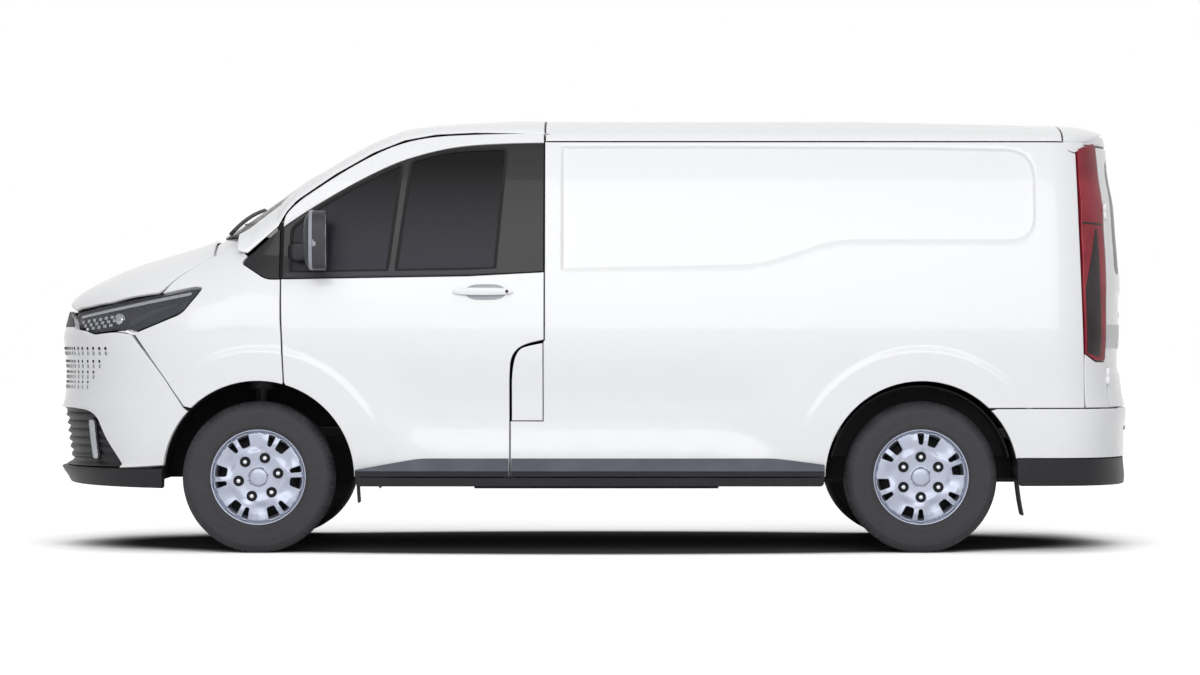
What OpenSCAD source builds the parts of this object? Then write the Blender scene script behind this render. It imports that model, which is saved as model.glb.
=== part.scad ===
// Panel van. +X forward, +Y to the vehicle's left, +Z up; origin on the ground, mid-length, centreline.

/* [Overall] */
// Distance between the front and rear axles
wheelbase = 3000; // [2500:10:3700]
// From the front axle to the front of the bumper
front_overhang = 985; // [960:5:1040]
// From the rear axle to the back of the rear bumper
rear_overhang = 1013; // [960:5:1300]
// Greatest half width of the body, without mirrors
half_width = 1015; // [960:5:1200]
// Height of the roof's crown above the ground
roof_z = 1990; // [1750:10:2500]

/* [Wheels] */
// Radius of the tyre
tyre_r = 343; // [310:1:380]
// Width of the tyre
tyre_w = 215; // [185:5:245]
// Radius at which tyre and rim meet
rim_r = 213; // [190:1:226]
// Distance of the tyre's middle plane inside the body's greatest half width
track_inset = 147; // [140:1:170]
// Room between the tyre and the edge of the wheel arch
arch_gap = 92; // [80:1:110]
// Steepest steering angle of a front wheel, in degrees
steer_max = 35; // [20:1:38]

/* [Shell] */
// Thickness of side walls and lower door halves
wall = 60; // [40:1:80]
// Thickness of the window frames of the doors
frame_t = 50; // [35:1:60]
// Thickness of the roof with its bows
roof_t = 45; // [30:1:60]
// Thickness of the front panels
panel_t = 28; // [15:1:35]
// Gap between a moving panel and its neighbours
gap = 12; // [10:1:16]
// Gap between fixed panels
seam = 6; // [4:1:10]
// Height of the load floor
floor_z = 560; // [500:5:640]
// Thickness of the floor
floor_t = 40; // [25:1:60]

/* [Tow bar mount] */
// Spacing of the tow bar's bolts along each chassis rail
tow_bolt_x = 120; // [80:5:160]
// Radius of a tow bar bolt hole
tow_bolt_r = 6.5; // [4:0.5:8]
// Radius of the towing eye's threaded socket
eye_r = 9; // [7:0.5:12]

/* [Hidden] */

body_len = front_overhang + wheelbase + rear_overhang;
nose_x = body_len / 2;
tail_x = -body_len / 2;
xf = nose_x - front_overhang;      // front axle
xr = xf - wheelbase;               // rear axle
wheel_y = half_width - track_inset;
kingpin_y = wheel_y - 78;
strut_y = kingpin_y - 108;
arm_y = strut_y - 282;             // outer face of the subframe, where the lower arms begin
rail_y = strut_y - 252;            // inner face of a rail, clear of the springs
swing_y = strut_y - 134;           // what stays inside this leaves the front wheels room to steer
arch_r = tyre_r + arch_gap;
belt_z = 1270;
roof_nominal = 1990;
far = 3000;
paint = [0.93, 0.94, 0.95];
plastic = [0.11, 0.11, 0.12];
glass_tint = [0.12, 0.13, 0.15, 0.6];
steel = [0.25, 0.25, 0.27];

// Heights above the belt line stretch with the roof; stretch() maps a nominal height to the real one.
function stretch(z) = z <= belt_z ? z : belt_z + (z - belt_z) * (roof_z - belt_z) / (roof_nominal - belt_z);
function unstretch(z) = z <= belt_z ? z : belt_z + (z - belt_z) * (roof_nominal - belt_z) / (roof_z - belt_z);

// How far the side lies inside the greatest half width, by nominal height
side_inset = [[230, 45], [345, 25], [430, 15], [560, 11], [700, 9], [830, 4], [920, 0], [1000, 2],
    [1120, 11], [1250, 25], [1380, 42], [1500, 60], [1600, 78], [1700, 99], [1790, 121], [1866, 143],
    [1890, 155], [1907, 169], [1920, 190], [1930, 215]];
function wall_y(z) = half_width - lookup(unstretch(z), side_inset);

// How far the nose and tail lie back from the bumper's tip, by height
nose_back = [[270, 60], [330, 30], [382, 0], [400, 33], [513, 19], [603, 9], [653, 0], [671, 7], [739, 19],
    [807, 23], [875, 19], [942, 11], [988, 9], [1019, 19], [1086, 37], [1150, 60]];
tail_back = [[270, 10], [340, 3], [390, 9], [520, 12], [640, 0], [680, 12], [750, 26], [870, 36],
    [1000, 29], [1300, 32], [1446, 43], [1600, 55], [1700, 74], [1866, 95], [1931, 103]];
corner_f = xf - 100;               // where the nose begins to round
corner_r = xr - 500;               // where the tail begins to round
function round_end(t) = pow(max(0, 1 - pow(max(0, t), 3)), 1 / 3);
function clamp(v) = min(1, max(0, v));
function cab_narrow(x, z) = let (u = clamp((x - xf + 1290) / 1400))
    22 * u * u + 48 * u * u * clamp((unstretch(z) - 1150) / 200);
function nose_at(z) = nose_x - lookup(z, nose_back);
function tail_at(z) = tail_x + lookup(unstretch(z), tail_back);

// Half width of the outer skin at a length and height
function side_y(x, z) = (wall_y(z) - cab_narrow(x, z))
    * round_end((x - corner_f) / (nose_at(z) - corner_f))
    * round_end((corner_r - x) / (corner_r - tail_at(z)));

// Centreline height of bonnet, windscreen and roof
front_top = [[-1166, 1990], [-975, 1979], [-880, 1974], [-784, 1965], [-689, 1955], [-594, 1931],
    [-498, 1893], [-403, 1841], [-307, 1783], [-212, 1731], [-116, 1669], [-21, 1607], [74, 1540],
    [170, 1473], [265, 1416], [360, 1383], [456, 1354], [551, 1326], [647, 1292], [742, 1254],
    [838, 1211], [890, 1180], [933, 1140], [950, 1098]];
rear_top = [[-1013, 1915], [-932, 1931], [-837, 1950], [-742, 1965], [-551, 1970], [-265, 1978],
    [22, 1985], [214, 1990]];
function top_z(x) = stretch(x > (xf + xr) / 2 ? lookup(x - xf, front_top) : lookup(x - xr, rear_top));

// Bonnet and wing tops: each cross-section rounds from the side at shoulder_z to the centreline
shoulder_z = 950;
function shoulder_y(x) = side_y(min(x, nose_at(shoulder_z) - 1), shoulder_z);
function bonnet_z(x, y) = shoulder_z + (top_z(x) - shoulder_z)
    * pow(max(0, 1 - pow(abs(y) / shoulder_y(x), 4)), 0.4);
function wing_y(x, z) = z <= shoulder_z ? side_y(x, z)
    : shoulder_y(x) * pow(max(0, 1 - pow(min(1, (z - shoulder_z) / (top_z(x) - shoulder_z)), 2.5)), 0.25);

// A closed thick patch from two grids of points. Seen from outside the first grid runs right to left along
// its rows and upwards along its columns.
module patch(outer, inner) {
    nu = len(outer);
    nv = len(outer[0]);
    n = nu * nv;
    function id(i, j, k) = k * n + i * nv + j;
    across = cross(outer[1][0] - outer[0][0], outer[0][1] - outer[0][0]);
    inwards = across * (inner[0][0] - outer[0][0]) > 0;
    function two(a, b, c, d) = inwards ? [[a, b, c], [a, c, d]] : [[c, b, a], [d, c, a]];
    points = concat([for (row = outer) each row], [for (row = inner) each row]);
    faces = concat(
        [for (i = [0:nu - 2], j = [0:nv - 2])
            each two(id(i, j, 0), id(i + 1, j, 0), id(i + 1, j + 1, 0), id(i, j + 1, 0))],
        [for (i = [0:nu - 2], j = [0:nv - 2])
            each two(id(i, j, 1), id(i, j + 1, 1), id(i + 1, j + 1, 1), id(i + 1, j, 1))],
        [for (i = [0:nu - 2]) each two(id(i + 1, 0, 0), id(i, 0, 0), id(i, 0, 1), id(i + 1, 0, 1))],
        [for (i = [0:nu - 2])
            each two(id(i, nv - 1, 0), id(i + 1, nv - 1, 0), id(i + 1, nv - 1, 1), id(i, nv - 1, 1))],
        [for (j = [0:nv - 2]) each two(id(0, j, 0), id(0, j + 1, 0), id(0, j + 1, 1), id(0, j, 1))],
        [for (j = [0:nv - 2])
            each two(id(nu - 1, j + 1, 0), id(nu - 1, j, 0), id(nu - 1, j, 1), id(nu - 1, j + 1, 1))]);
    polyhedron(points = points, faces = faces);
}

// Rods with an outline in the side view, plan or front view
module along_y(outline, y0, y1)
    translate([0, y1, 0]) rotate([90, 0, 0]) linear_extrude(y1 - y0) polygon(outline);
module along_z(outline, z0, z1)
    translate([0, 0, z0]) linear_extrude(z1 - z0) polygon(outline);
module along_x(outline, x0, x1)
    translate([x0, 0, 0]) rotate([90, 0, 90]) linear_extrude(x1 - x0) polygon(outline);
module block(lo, hi) translate(lo) cube(hi - lo);
module tube_y(r, y0, y1, bore = 0) translate([0, y1, 0]) rotate([90, 0, 0]) difference() {
    cylinder(r = r, h = y1 - y0, $fn = 96);
    if (bore > 0) translate([0, 0, -1]) cylinder(r = bore, h = y1 - y0 + 2, $fn = 96);
}
module both() { children(); mirror([0, 1, 0]) children(); }
// Evenly spaced numbers from a to b
function steps(a, b, n) = [for (i = [0:n]) a + (b - a) * i / n];
function place(u, z) = [xf + u, stretch(z)];
function place_r(v, z) = [xr + v, stretch(z)];

// Side skin of the left side over a range of lengths and heights
module side_skin(xs, zs, t_low, t_high, split_z = belt_z) patch(
    [for (x = xs) [for (z = zs) [x, side_y(x, z), z]]],
    [for (x = xs) [for (z = zs) [x, side_y(x, z) - (z < split_z ? t_low : t_high), z]]]);
module arch_cut(x) translate([x, 0, tyre_r]) {
    tube_y(arch_r, -far, far);
    block([-arch_r, -far, -tyre_r], [arch_r, far, 0]);
}

// ---- Doors -------------------------------------------------------------------------------------------
hinge_u = -106;                    // front door hinge line, behind the front axle
door_rear_u = -1290;               // rear edge of the front door above the step
step_u = -1135;                    // rear edge below the step
pillar_u = -1302;                  // front edge of the side wall
door_outline = [place(-110, 1226), place(-110, 1068), place(-125, 640), place(-440, 560),
    place(-440, 350), place(step_u + 4, 350), place(step_u + 4, 800), place(-1142, 885),
    place(-1160, 925), place(-1192, 948), place(door_rear_u + 4, 972), place(door_rear_u + 4, 1902),
    place(-972, 1897), place(-791, 1893), place(-673, 1865), place(-519, 1806), place(-370, 1724),
    place(-203, 1602), place(-135, 1543), place(-116, 1490)];
glass_front = [place(-150, 1262), place(-150, 1430), place(-370, 1618), place(-519, 1712),
    place(-625, 1770), place(-565, 1268)];
glass_main = [place(-615, 1268), place(-670, 1782), place(-673, 1795), place(-823, 1830),
    place(-1115, 1830), place(-1055, 1282)];
module front_door() color(paint) difference() {
    intersection() {
        side_skin([for (x = steps(door_rear_u, -111, 9)) xf + x],
            [for (z = [350, 480, 640, 800, 920, 1020, 1130, 1268, 1300, 1420, 1540, 1660, 1760, 1840,
                1880, 1902]) stretch(z)], wall + 30, frame_t);
        along_y(door_outline, 0, far);
    }
    arch_cut(xf);
    along_y(glass_front, 0, far);
    along_y(glass_main, 0, far);
}
glass_play = 2;
module shrink(outline) {
    lo = [min([for (p = outline) p.x]), min([for (p = outline) p.y])];
    hi = [max([for (p = outline) p.x]), max([for (p = outline) p.y])];
    mid = (lo + hi) / 2;
    k = [1 - 4 * glass_play / (hi.x - lo.x), 1 - 4 * glass_play / (hi.y - lo.y)];
    along_y([for (p = outline) [mid.x + (p.x - mid.x) * k.x, mid.y + (p.y - mid.y) * k.y]], 0, far);
}
module door_glass() color(glass_tint) for (outline = [glass_front, glass_main]) intersection() {
    glass_side();
    shrink(outline);
}
glass_drop = 8;                    // glass lies this far inside the outer skin
module glass_side() let (xs = [for (x = steps(-1200, -130, 6)) xf + x],
    zs = [for (z = [1255, 1380, 1540, 1700, 1850]) stretch(z)]) patch(
        [for (x = xs) [for (z = zs) [x, side_y(x, z) - glass_drop, z]]],
        [for (x = xs) [for (z = zs) [x, side_y(x, z) - glass_drop - 6, z]]]);
mirror_y = side_y(xf - 160, 1360);
function mirror_foot(z) = side_y(xf - 210, stretch(z)) + 1;
module mirror_unit() color(plastic) {
    along_x([[mirror_y + 66, stretch(1290)], [mirror_y + 90, stretch(1277)], [mirror_y + 220, stretch(1285)],
        [mirror_y + 240, stretch(1310)], [mirror_y + 236, stretch(1500)], [mirror_y + 200, stretch(1542)],
        [mirror_y + 95, stretch(1546)], [mirror_y + 62, stretch(1520)]], xf - 318, xf - 214);
    along_x([[mirror_foot(1320), stretch(1320)], [mirror_y + 68, stretch(1312)],
        [mirror_y + 68, stretch(1405)], [mirror_foot(1410), stretch(1410)]], xf - 210, xf - 130);
    along_x([[mirror_y + 40, stretch(1320)], [mirror_y + 61, stretch(1312)], [mirror_y + 61, stretch(1405)],
        [mirror_y + 40, stretch(1410)]], xf - 260, xf - 210);
    block([xf - 260, mirror_y + 55, stretch(1330)], [xf - 220, mirror_y + 80, stretch(1400)]);
}

// ---- Rear doors ---------------------------------------------------------------------------------------
door_edge_inset = 165;             // rear door's outer edge inside the side skin
rear_door_z0 = 660;
rear_door_z1 = 1850;
function tail_skin(y, z) = corner_r - (corner_r - tail_at(z)) * round_end(abs(y) / wall_y(z));
function rear_edge(z) = wall_y(z) - door_edge_inset;
rear_zs = [for (z = [rear_door_z0, 800, 930, 1080, 1250, 1420, 1560, 1700, 1800, rear_door_z1]) stretch(z)];
module rear_skin(t) patch(
    [for (k = steps(0, 1, 8)) [for (z = rear_zs) let (y = 7 + (rear_edge(z) - 7) * k)
        [tail_skin(y, z), y, z]]],
    [for (k = steps(0, 1, 8)) [for (z = rear_zs) let (y = 7 + (rear_edge(z) - 7) * k)
        [tail_skin(y, z) + t, y, z]]]);
rear_glass_outline = [[95, stretch(1262)], [rear_edge(1262) - 95, stretch(1262)],
    [rear_edge(1700) - 85, stretch(1740)], [rear_edge(1790) - 110, stretch(1795)], [95, stretch(1795)]];
module rear_door() color(paint) difference() {
    rear_skin(wall);
    along_x(rear_glass_outline, tail_x - 100, xr);
}
module rear_glass() color(glass_tint) intersection() {
    translate([glass_drop, 0, 0]) rear_skin(6);
    along_x([for (p = rear_glass_outline) [p.x + (p.x < 200 ? glass_play : -glass_play * 2),
        p.y + (p.y < stretch(1500) ? glass_play : -glass_play)]], tail_x - 100, xr);
}

// ---- Side walls ---------------------------------------------------------------------------------------
lamp_v = -735;                     // front edge of the tail lamps, behind the rear axle
lamp_z0 = 865;
bumper_z = 652;                    // top of the rear bumper
bumper_v = -340;                   // front ends of the rear bumper, behind the rear axle
panel_zs = [for (z = [350, 500, 658, 760, 860, 920, 1020, 1130, 1268, 1400, 1540, 1680, 1790, 1870,
    1890, 1902]) stretch(z)];
rear_xs = concat([xr + 500, xr, xr - 340, xr - 500], steps(xr - 580, xr - 868, 4));
module wall_left_blank() side_skin(concat([xf + step_u - 8, xf + pillar_u, xf - 1700], rear_xs), panel_zs,
    wall, wall);
module wall_right_blank() side_skin(rear_xs, panel_zs, wall, wall);
module behind_lamp() along_y([place_r(-900, lamp_z0), place_r(lamp_v - seam, lamp_z0),
    place_r(lamp_v - seam, 1950), place_r(-900, 1950)], 0, far);
module above_bumper() along_y([place_r(-900, 0), place_r(-900, bumper_z + seam),
    place_r(bumper_v + seam, bumper_z + seam), place_r(bumper_v + seam, 0)], 0, far);
flap_outline = [place(-1145, 600), place(-1145, 795), place(-1156, 878), place(-1172, 911),
    place(-1199, 932), place(-1288, 950), place(-1288, 600)];
flap_t = 12;
// Recess behind the filler flap, open towards the door
module flap_pocket() along_y([place(-1295, 593), place(-1100, 593), place(-1100, 990), place(-1295, 990)],
    half_width - 30, far);
// Everything ahead of the fixed wall: the door's opening with its step
module ahead_of_wall() along_y([place(pillar_u, 958), place(-1197, 936), place(-1170, 915),
    place(-1154, 880), place(step_u - 8, 795), place(step_u - 8, 300), place(0, 300), place(0, 2050),
    place(pillar_u, 2050)], 0, far);
// Room for the rear door's edge behind the wall's rear corner
module door_edge_room() block([tail_x, -far, 0], [xr - 770, rear_edge(lamp_z0) + gap, lamp_z0]);
module side_panel_left() color(paint) difference() {
    wall_left_blank();
    ahead_of_wall();
    arch_cut(xr);
    behind_lamp();
    above_bumper();
    door_edge_room();
    flap_pocket();
}
module side_panel_right() mirror([0, 1, 0]) color(paint) {
    difference() {
        wall_right_blank();
        arch_cut(xr);
        behind_lamp();
        above_bumper();
        door_edge_room();
    }
    // Corner below the window line, between the front door's step and the sliding door
    difference() {
        side_skin([xf + step_u - 8, xf - 1200, xf + pillar_u + seam], [for (z = [350, 560, 760, 900, 972])
            stretch(z)], wall, wall);
        ahead_of_wall();
    }
}
slide_rear_x = xr + 500 + gap;     // rear edge of the sliding door
module sliding_door() mirror([0, 1, 0]) color(paint)
    side_skin(steps(slide_rear_x, xf + pillar_u, 4), panel_zs, wall, wall);
// Filler flap, cut from the same skin as the wall around it
module flap_body() color(paint) intersection() {
    side_skin([xf - 1288, xf - 1200, xf + step_u - 12], [595, 700, 830, 920, 960], flap_t, flap_t);
    along_y(flap_outline, 0, far);
}

// ---- Roof and windscreen ------------------------------------------------------------------------------
function crown(y) = 60 * pow(abs(y) / 800, 2.2);
function roof_half(x) = side_y(x, stretch(1900)) - wall - 6;
function roof_pt(x, k, drop) = let (y = roof_half(x) * k)
    [x - 100 * clamp((x - xf + 900) / 300) * k * k, y, top_z(x) - crown(y) * (stretch(1990) - belt_z) / 720 - drop];
roof_xs = concat([for (u = [-630, -689, -784, -900, -1166]) xf + u], steps(xf - 1500, xr - 500, 3),
    [xr - 742, xr - 837, xr - 900]);
roof_ks = [-1, -0.93, -0.8, -0.6, -0.3, 0, 0.3, 0.6, 0.8, 0.93, 1];
module roof() color(paint) patch(
    [for (k = roof_ks) [for (i = [len(roof_xs) - 1:-1:0]) roof_pt(roof_xs[i], k, 0)]],
    [for (k = roof_ks) [for (i = [len(roof_xs) - 1:-1:0]) roof_pt(roof_xs[i], k * 0.97, roof_t)]]);

screen_us = [250, 170, 74, -21, -116, -212, -307, -403, -498, -594, -616];
function screen_pt(u, y, drop) = let (k = abs(y) / (half_width - 165))
    [xf + u - 100 * k * k, y, top_z(xf + u) - drop - (20 + 30 * clamp((250 - u) / 870)) * k * k];
function pillar_y(u) = half_width - lookup(u, [[-640, 240], [-300, 212], [-100, 195], [250, 150]]);
pillar_w = 70;
screen_t = 6;
module screen_band(y0, y1, t) patch(
    [for (k = steps(0, 1, 8)) [for (i = [len(screen_us) - 1:-1:0]) let (u = screen_us[i])
        screen_pt(u, y0 * (pillar_y(u) - pillar_w) + (y1 - y0) * (pillar_y(u) - pillar_w) * k, 0)]],
    [for (k = steps(0, 1, 8)) [for (i = [len(screen_us) - 1:-1:0]) let (u = screen_us[i])
        screen_pt(u, y0 * (pillar_y(u) - pillar_w) + (y1 - y0) * (pillar_y(u) - pillar_w) * k, t)]]);
module windscreen() color(glass_tint) translate([0, 0, -6]) screen_band(-1, 1, screen_t * 1.2);
module pillar() patch(
    [for (k = [0, 0.5, 1]) [for (i = [len(screen_us) - 1:-1:0]) let (u = screen_us[i])
        screen_pt(u, pillar_y(u) - (pillar_w - 4) * (1 - k), 0)]],
    [for (k = [0, 0.5, 1]) [for (i = [len(screen_us) - 1:-1:0]) let (u = screen_us[i])
        screen_pt(u, pillar_y(u) - (pillar_w - 4) * (1 - k), 45)]]);
module windscreen_frame() color(paint) {
    both() pillar();
    // Trim between the pillar's foot, the wing and the door
    both() intersection() {
        side_skin(steps(xf - 97, xf + 70, 3), [1238, 1300, 1360, 1420, 1460], 24, 24);
        along_y([place(-97, 1240), place(-38, 1252), place(60, 1338), place(-97, 1440)], 0, far);
    }
    // Cowl trough below the glass
    along_y([[xf + 130, 1270], [xf + 186, 1270], [xf + 186, 1340], [xf + 130, 1340]],
        -(half_width - 330), half_width - 330);
}

// ---- Front panels -------------------------------------------------------------------------------------
wing_outline = [place(-98, 1210), place(-98, 1068), place(-112, 600), place(290, 600), place(326, 655),
    place(545, 982), place(349, 1072), place(258, 1180), place(262, 1212), place(440, 1178),
    place(398, 1222), place(345, 1262), place(281, 1296), place(215, 1325), place(100, 1330),
    place(-40, 1232)];
module front_wings() color(paint) both() difference() {
    intersection() {
        patch(
            [for (x = steps(xf - 98, xf + 570, 9)) [for (z = [600, 700, 800, 900, 950, 1010, 1070, 1130,
                1190, 1240, 1290, 1331]) [x, wing_y(x, min(z, top_z(x) - 20)), z]]],
            [for (x = steps(xf - 98, xf + 570, 9)) [for (z = [600, 700, 800, 900, 950, 1010, 1070, 1130,
                1190, 1240, 1290, 1331]) [x, wing_y(x, min(z, top_z(x) - 20)) - panel_t, z]]]);
        along_y(wing_outline, 0, far);
    }
    arch_cut(xf);
}
bonnet_edge = [[205, 700], [281, 725], [345, 760], [405, 800], [444, 832], [520, 835], [600, 815],
    [700, 765], [800, 672], [880, 560], [915, 480]];
bonnet_us = [205, 281, 345, 405, 444, 520, 600, 700, 800, 860, 900, 915];
bonnet_t = 14;
module bonnet() color(paint) patch(
    [for (k = steps(-1, 1, 12)) [for (u = bonnet_us)
        bonnet_pt(u, k, 0)]],
    [for (k = steps(-1, 1, 12)) [for (u = bonnet_us)
        bonnet_pt(u, k, bonnet_t)]]);
rear_bow = 75;                     // the bonnet's rear edge bows back from the middle to the sides
function bonnet_pt(u, k, drop) = let (y = (lookup(u, bonnet_edge) - gap + half_width - 1015) * k,
        x = xf + u + rear_bow * (1 - k * k) * (915 - u) / 710)
    [x, y, bonnet_z(x, y) - drop];
// Point on the nose at a height, with phi running from +90 (left side) to -90 (right side)
function nose_pt(phi, z, t) = let (c = pow(abs(cos(phi)), 2 / 3), s = pow(abs(sin(phi)), 2 / 3))
    [corner_f + (nose_at(z) - t - corner_f) * c, sign(phi) * s * (wall_y(z) - 22 - t), z];
function phi_of(u, z) = acos(pow(min(1, (xf + u - corner_f) / (nose_at(z) - corner_f)), 1.5));
module nose_band(zs, us, t) patch(
    [for (k = steps(1, -1, 20)) [for (z = zs) nose_pt(phi_of(lookup(z, us), z) * k, z, 0)]],
    [for (k = steps(1, -1, 20)) [for (z = zs) nose_pt(phi_of(lookup(z, us), z) * k, z, t)]]);
lip_z = 382;
bumper_top = 985;
module front_bumper() color(paint) difference() {
    union() {
        nose_band([lip_z, 450, 520, 603, 653, 739, 807, 875, 942, bumper_top],
            [[lip_z, 440], [603, 344], [653, 346], [bumper_top, 568]], panel_t + 12);
        nose_band([bumper_top, 1019, 1070], [[bumper_top, 905], [1070, 905]], panel_t + 12);
    }
    arch_cut(xf);
    grille_opening(0);
}
module grille_opening(d) along_x([[-620 + d, 400 + d], [620 - d, 400 + d], [560 - d, 640 - d],
    [-560 + d, 640 - d]], nose_x - 330, nose_x + 50);
module lower_grille() color(plastic) difference() {
    intersection() {
        nose_band([405, 450, 500, 550, 600, 635], [[400, 700], [640, 700]], 26);
        grille_opening(3);
    }
    translate([nose_x - 300, eye_y, eye_z]) rotate([0, 90, 0])
        cylinder(r = eye_access_r, h = 400, $fn = 48);
}
module headlamps() color([0.3, 0.31, 0.34]) both() patch(
    [for (s = lamp_stations) [for (k = steps(0, 1, 4)) lamp_pt(s, k, 0)]],
    [for (s = lamp_stations) [for (k = steps(0, 1, 4)) lamp_pt(s, k, 34)]]);
// Each station of a headlamp: distance ahead of the axle, lower and upper edge
lamp_stations = [[278, 1185, 1196], [349, 1092, 1182], [470, 1042, 1158], [582, 996, 1140],
    [678, 1008, 1126], [760, 1000, 1112], [830, 1003, 1097], [880, 1024, 1086]];
function lamp_pt(s, k, t) = let (x = xf + s[0], z = s[1] + (s[2] - s[1]) * k,
        y = min(wing_y(x, z), side_y(x, min(z, shoulder_z + 40))))
    [x - t * 0.5, y - t, z];

// ---- Tail ---------------------------------------------------------------------------------------------
module tail_lamps() color([0.6, 0.05, 0.06]) both() patch(
    [for (k = steps(0, 1, 5)) [for (z = tail_zs) tail_lamp_pt(k, z, 0)]],
    [for (k = steps(0, 1, 5)) [for (z = tail_zs) tail_lamp_pt(k, z, lamp_t)]]);
lamp_t = 40;
tail_zs = [for (z = [lamp_z0, 1000, 1200, 1446, 1600, 1750, 1862]) stretch(z)];
function lamp_rear_x(z) = tail_skin(rear_edge(z) + gap, z);
function tail_lamp_pt(k, z, t) = let (x0 = lamp_rear_x(z), x = x0 + (xr + lamp_v - 2 * seam - x0) * k,
        y0 = rear_edge(z) + gap, depth = 1 - t / (door_edge_inset - gap))
    [x + t * (1 - k), y0 + (max(side_y(x, z), y0) - y0) * depth, z];
module rear_bumper() color(paint) difference() {
    patch(
        [for (k = steps(-1, 1, 16)) [for (z = [290, 340, 440, 520, 600, bumper_z]) rear_band(k, z, 0)]],
        [for (k = steps(-1, 1, 16)) [for (z = [290, 340, 440, 520, 600, bumper_z]) rear_band(k, z, wall)]]);
    arch_cut(xr);
}
function rear_band(k, z, t) = let (phi_end = 104, a = phi_end * k, c = pow(max(0, cos(min(90, abs(a)))), 2 / 3),
        s = pow(abs(sin(min(90, abs(a)))), 2 / 3), past = max(0, abs(a) - 90) / (phi_end - 90))
    [corner_r - (corner_r - tail_at(z) - t) * c + (xr + bumper_v - corner_r) * past,
        sign(a) * s * (wall_y(z) - t), z];
sill_x0 = xr + arch_r + 5;
sill_x1 = xf - arch_r - 5;
module lower_trims() color(plastic) {
    both() side_skin(steps(sill_x0, sill_x1, 6), [286, 344], wall + 20, wall + 20);
    intersection() {
        nose_band([305, 340, 376], [[300, 480], [376, 480]], 40);
        block([xf, -far, 0], [nose_x + 10, far, 500]);
    }
    both() block([xf - arch_r - 22, wheel_y - 80, 226], [xf - arch_r - 10, wheel_y + 100, 284]);
    both() block([xr - arch_r - 12, wheel_y - 100, 165], [xr - arch_r - 2, wheel_y + 60, 282]);
}

// ---- Floor and frame ----------------------------------------------------------------------------------
bulkhead_u = -1340;
roof_room = 59;                    // from the roof's outer skin down to the bulkhead's top
// Height of a point that keeps its distance below the roof, whatever the roof's height
function under_roof(z) = stretch(z + roof_room) - roof_room;
floor_half = half_width - wall - 65;
house_y = wheel_y - tyre_w / 2 - 50;   // inner wall of the rear wheelhouses
load_half = house_y - 20;              // half width of the load floor's flat face
load_t = 4;
house_r = arch_r - 20;
house_t = 8;
module floor_pan() color(steel) difference() {
    union() {
        along_z(concat([for (k = steps(-1, 1, 12)) let (y = floor_half * k)
            [tail_skin(y, floor_z) + wall + 65, y]], [[xf - arch_r - 10, floor_half],
            [xf - arch_r - 10, -floor_half]]), floor_z - floor_t, floor_z);
        block([xf - arch_r - 12, -swing_y, floor_z - floor_t], [xf + 40, swing_y, floor_z]);
        block([xf + 10, -swing_y, floor_z - 1], [xf + 40, swing_y, 1240]);
        // Load floor, raised a little between the wheelhouses
        block([tail_x + wall + 90, -load_half, floor_z - 1], [xf + bulkhead_u - 45, load_half, floor_z + load_t]);
    }
    both() intersection() {
        translate([xr, 0, tyre_r]) tube_y(house_r + 3, house_y - 3, far);
        block([-far, house_y - 3, 0], [far, far, 2000]);
    }
}
module wheelhouses() color(plastic) both() {
    // Rear wheelhouse, a half drum with an inner wall
    intersection() {
        translate([xr, 0, tyre_r]) difference() {
            tube_y(house_r, house_y, floor_half);
            tube_y(house_r - house_t, house_y + house_t, far);
        }
        block([-far, 0, 430], [far, far, 2000]);
    }
    // Front liner, a half drum open towards the engine
    intersection() {
        translate([xf, 0, tyre_r]) difference() {
            tube_y(arch_r + 1 + house_t, swing_y + 6, half_width - 190);
            tube_y(arch_r + 1, 0, far);
            translate([0, strut_y, 0]) cylinder(r = spring_r + 6, h = 900, $fn = 64);
        }
        union() {
            block([xf - far, 0, floor_z + 4], [xf + far, far, 2000]);
            block([xf, 0, 430], [xf + far, far, 2000]);
        }
    }
}
rail_w = 70;
rail_top = floor_z - floor_t - 1;
rail_h = 95;
tow_x = tail_x + 150;
module chassis_rails() color(steel) difference() {
    union() {
        both() block([tow_x, rail_y, rail_top - rail_h], [nose_x - 190, rail_y + rail_w, rail_top]);
        for (u = [-900, -1800])
            block([xf + u - 40, -rail_y - 1, rail_top - 60], [xf + u + 40, rail_y + 1, rail_top]);
        block([xr + 560, -rail_y - 1, rail_top - 60], [xr + 620, rail_y + 1, rail_top]);
        block([nose_x - 230, -rail_y, rail_top - 89], [nose_x - 190, rail_y, rail_top + 11]);
        block([tow_x, -rail_y - 1, rail_top - rail_h], [tow_x + 60, rail_y + 1, rail_top]);
    }
    // Tow bar bolt holes, up through both rails
    both() for (x = [-1, 1]) translate([tow_mid_x + x * tow_bolt_x / 2, rail_y + rail_w / 2,
        rail_top - rail_h - 1]) cylinder(r = tow_bolt_r, h = rail_h + 2, $fn = 48);
    // Threaded socket of the front towing eye
    translate([nose_x - 240, eye_y, eye_z]) rotate([0, 90, 0]) cylinder(r = eye_r, h = 60, $fn = 48);
}
tow_mid_x = tow_x + 170;
eye_y = -rail_y + 50;
eye_z = rail_top - 39;              // middle of the front cross member
eye_access_r = 22;

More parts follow.
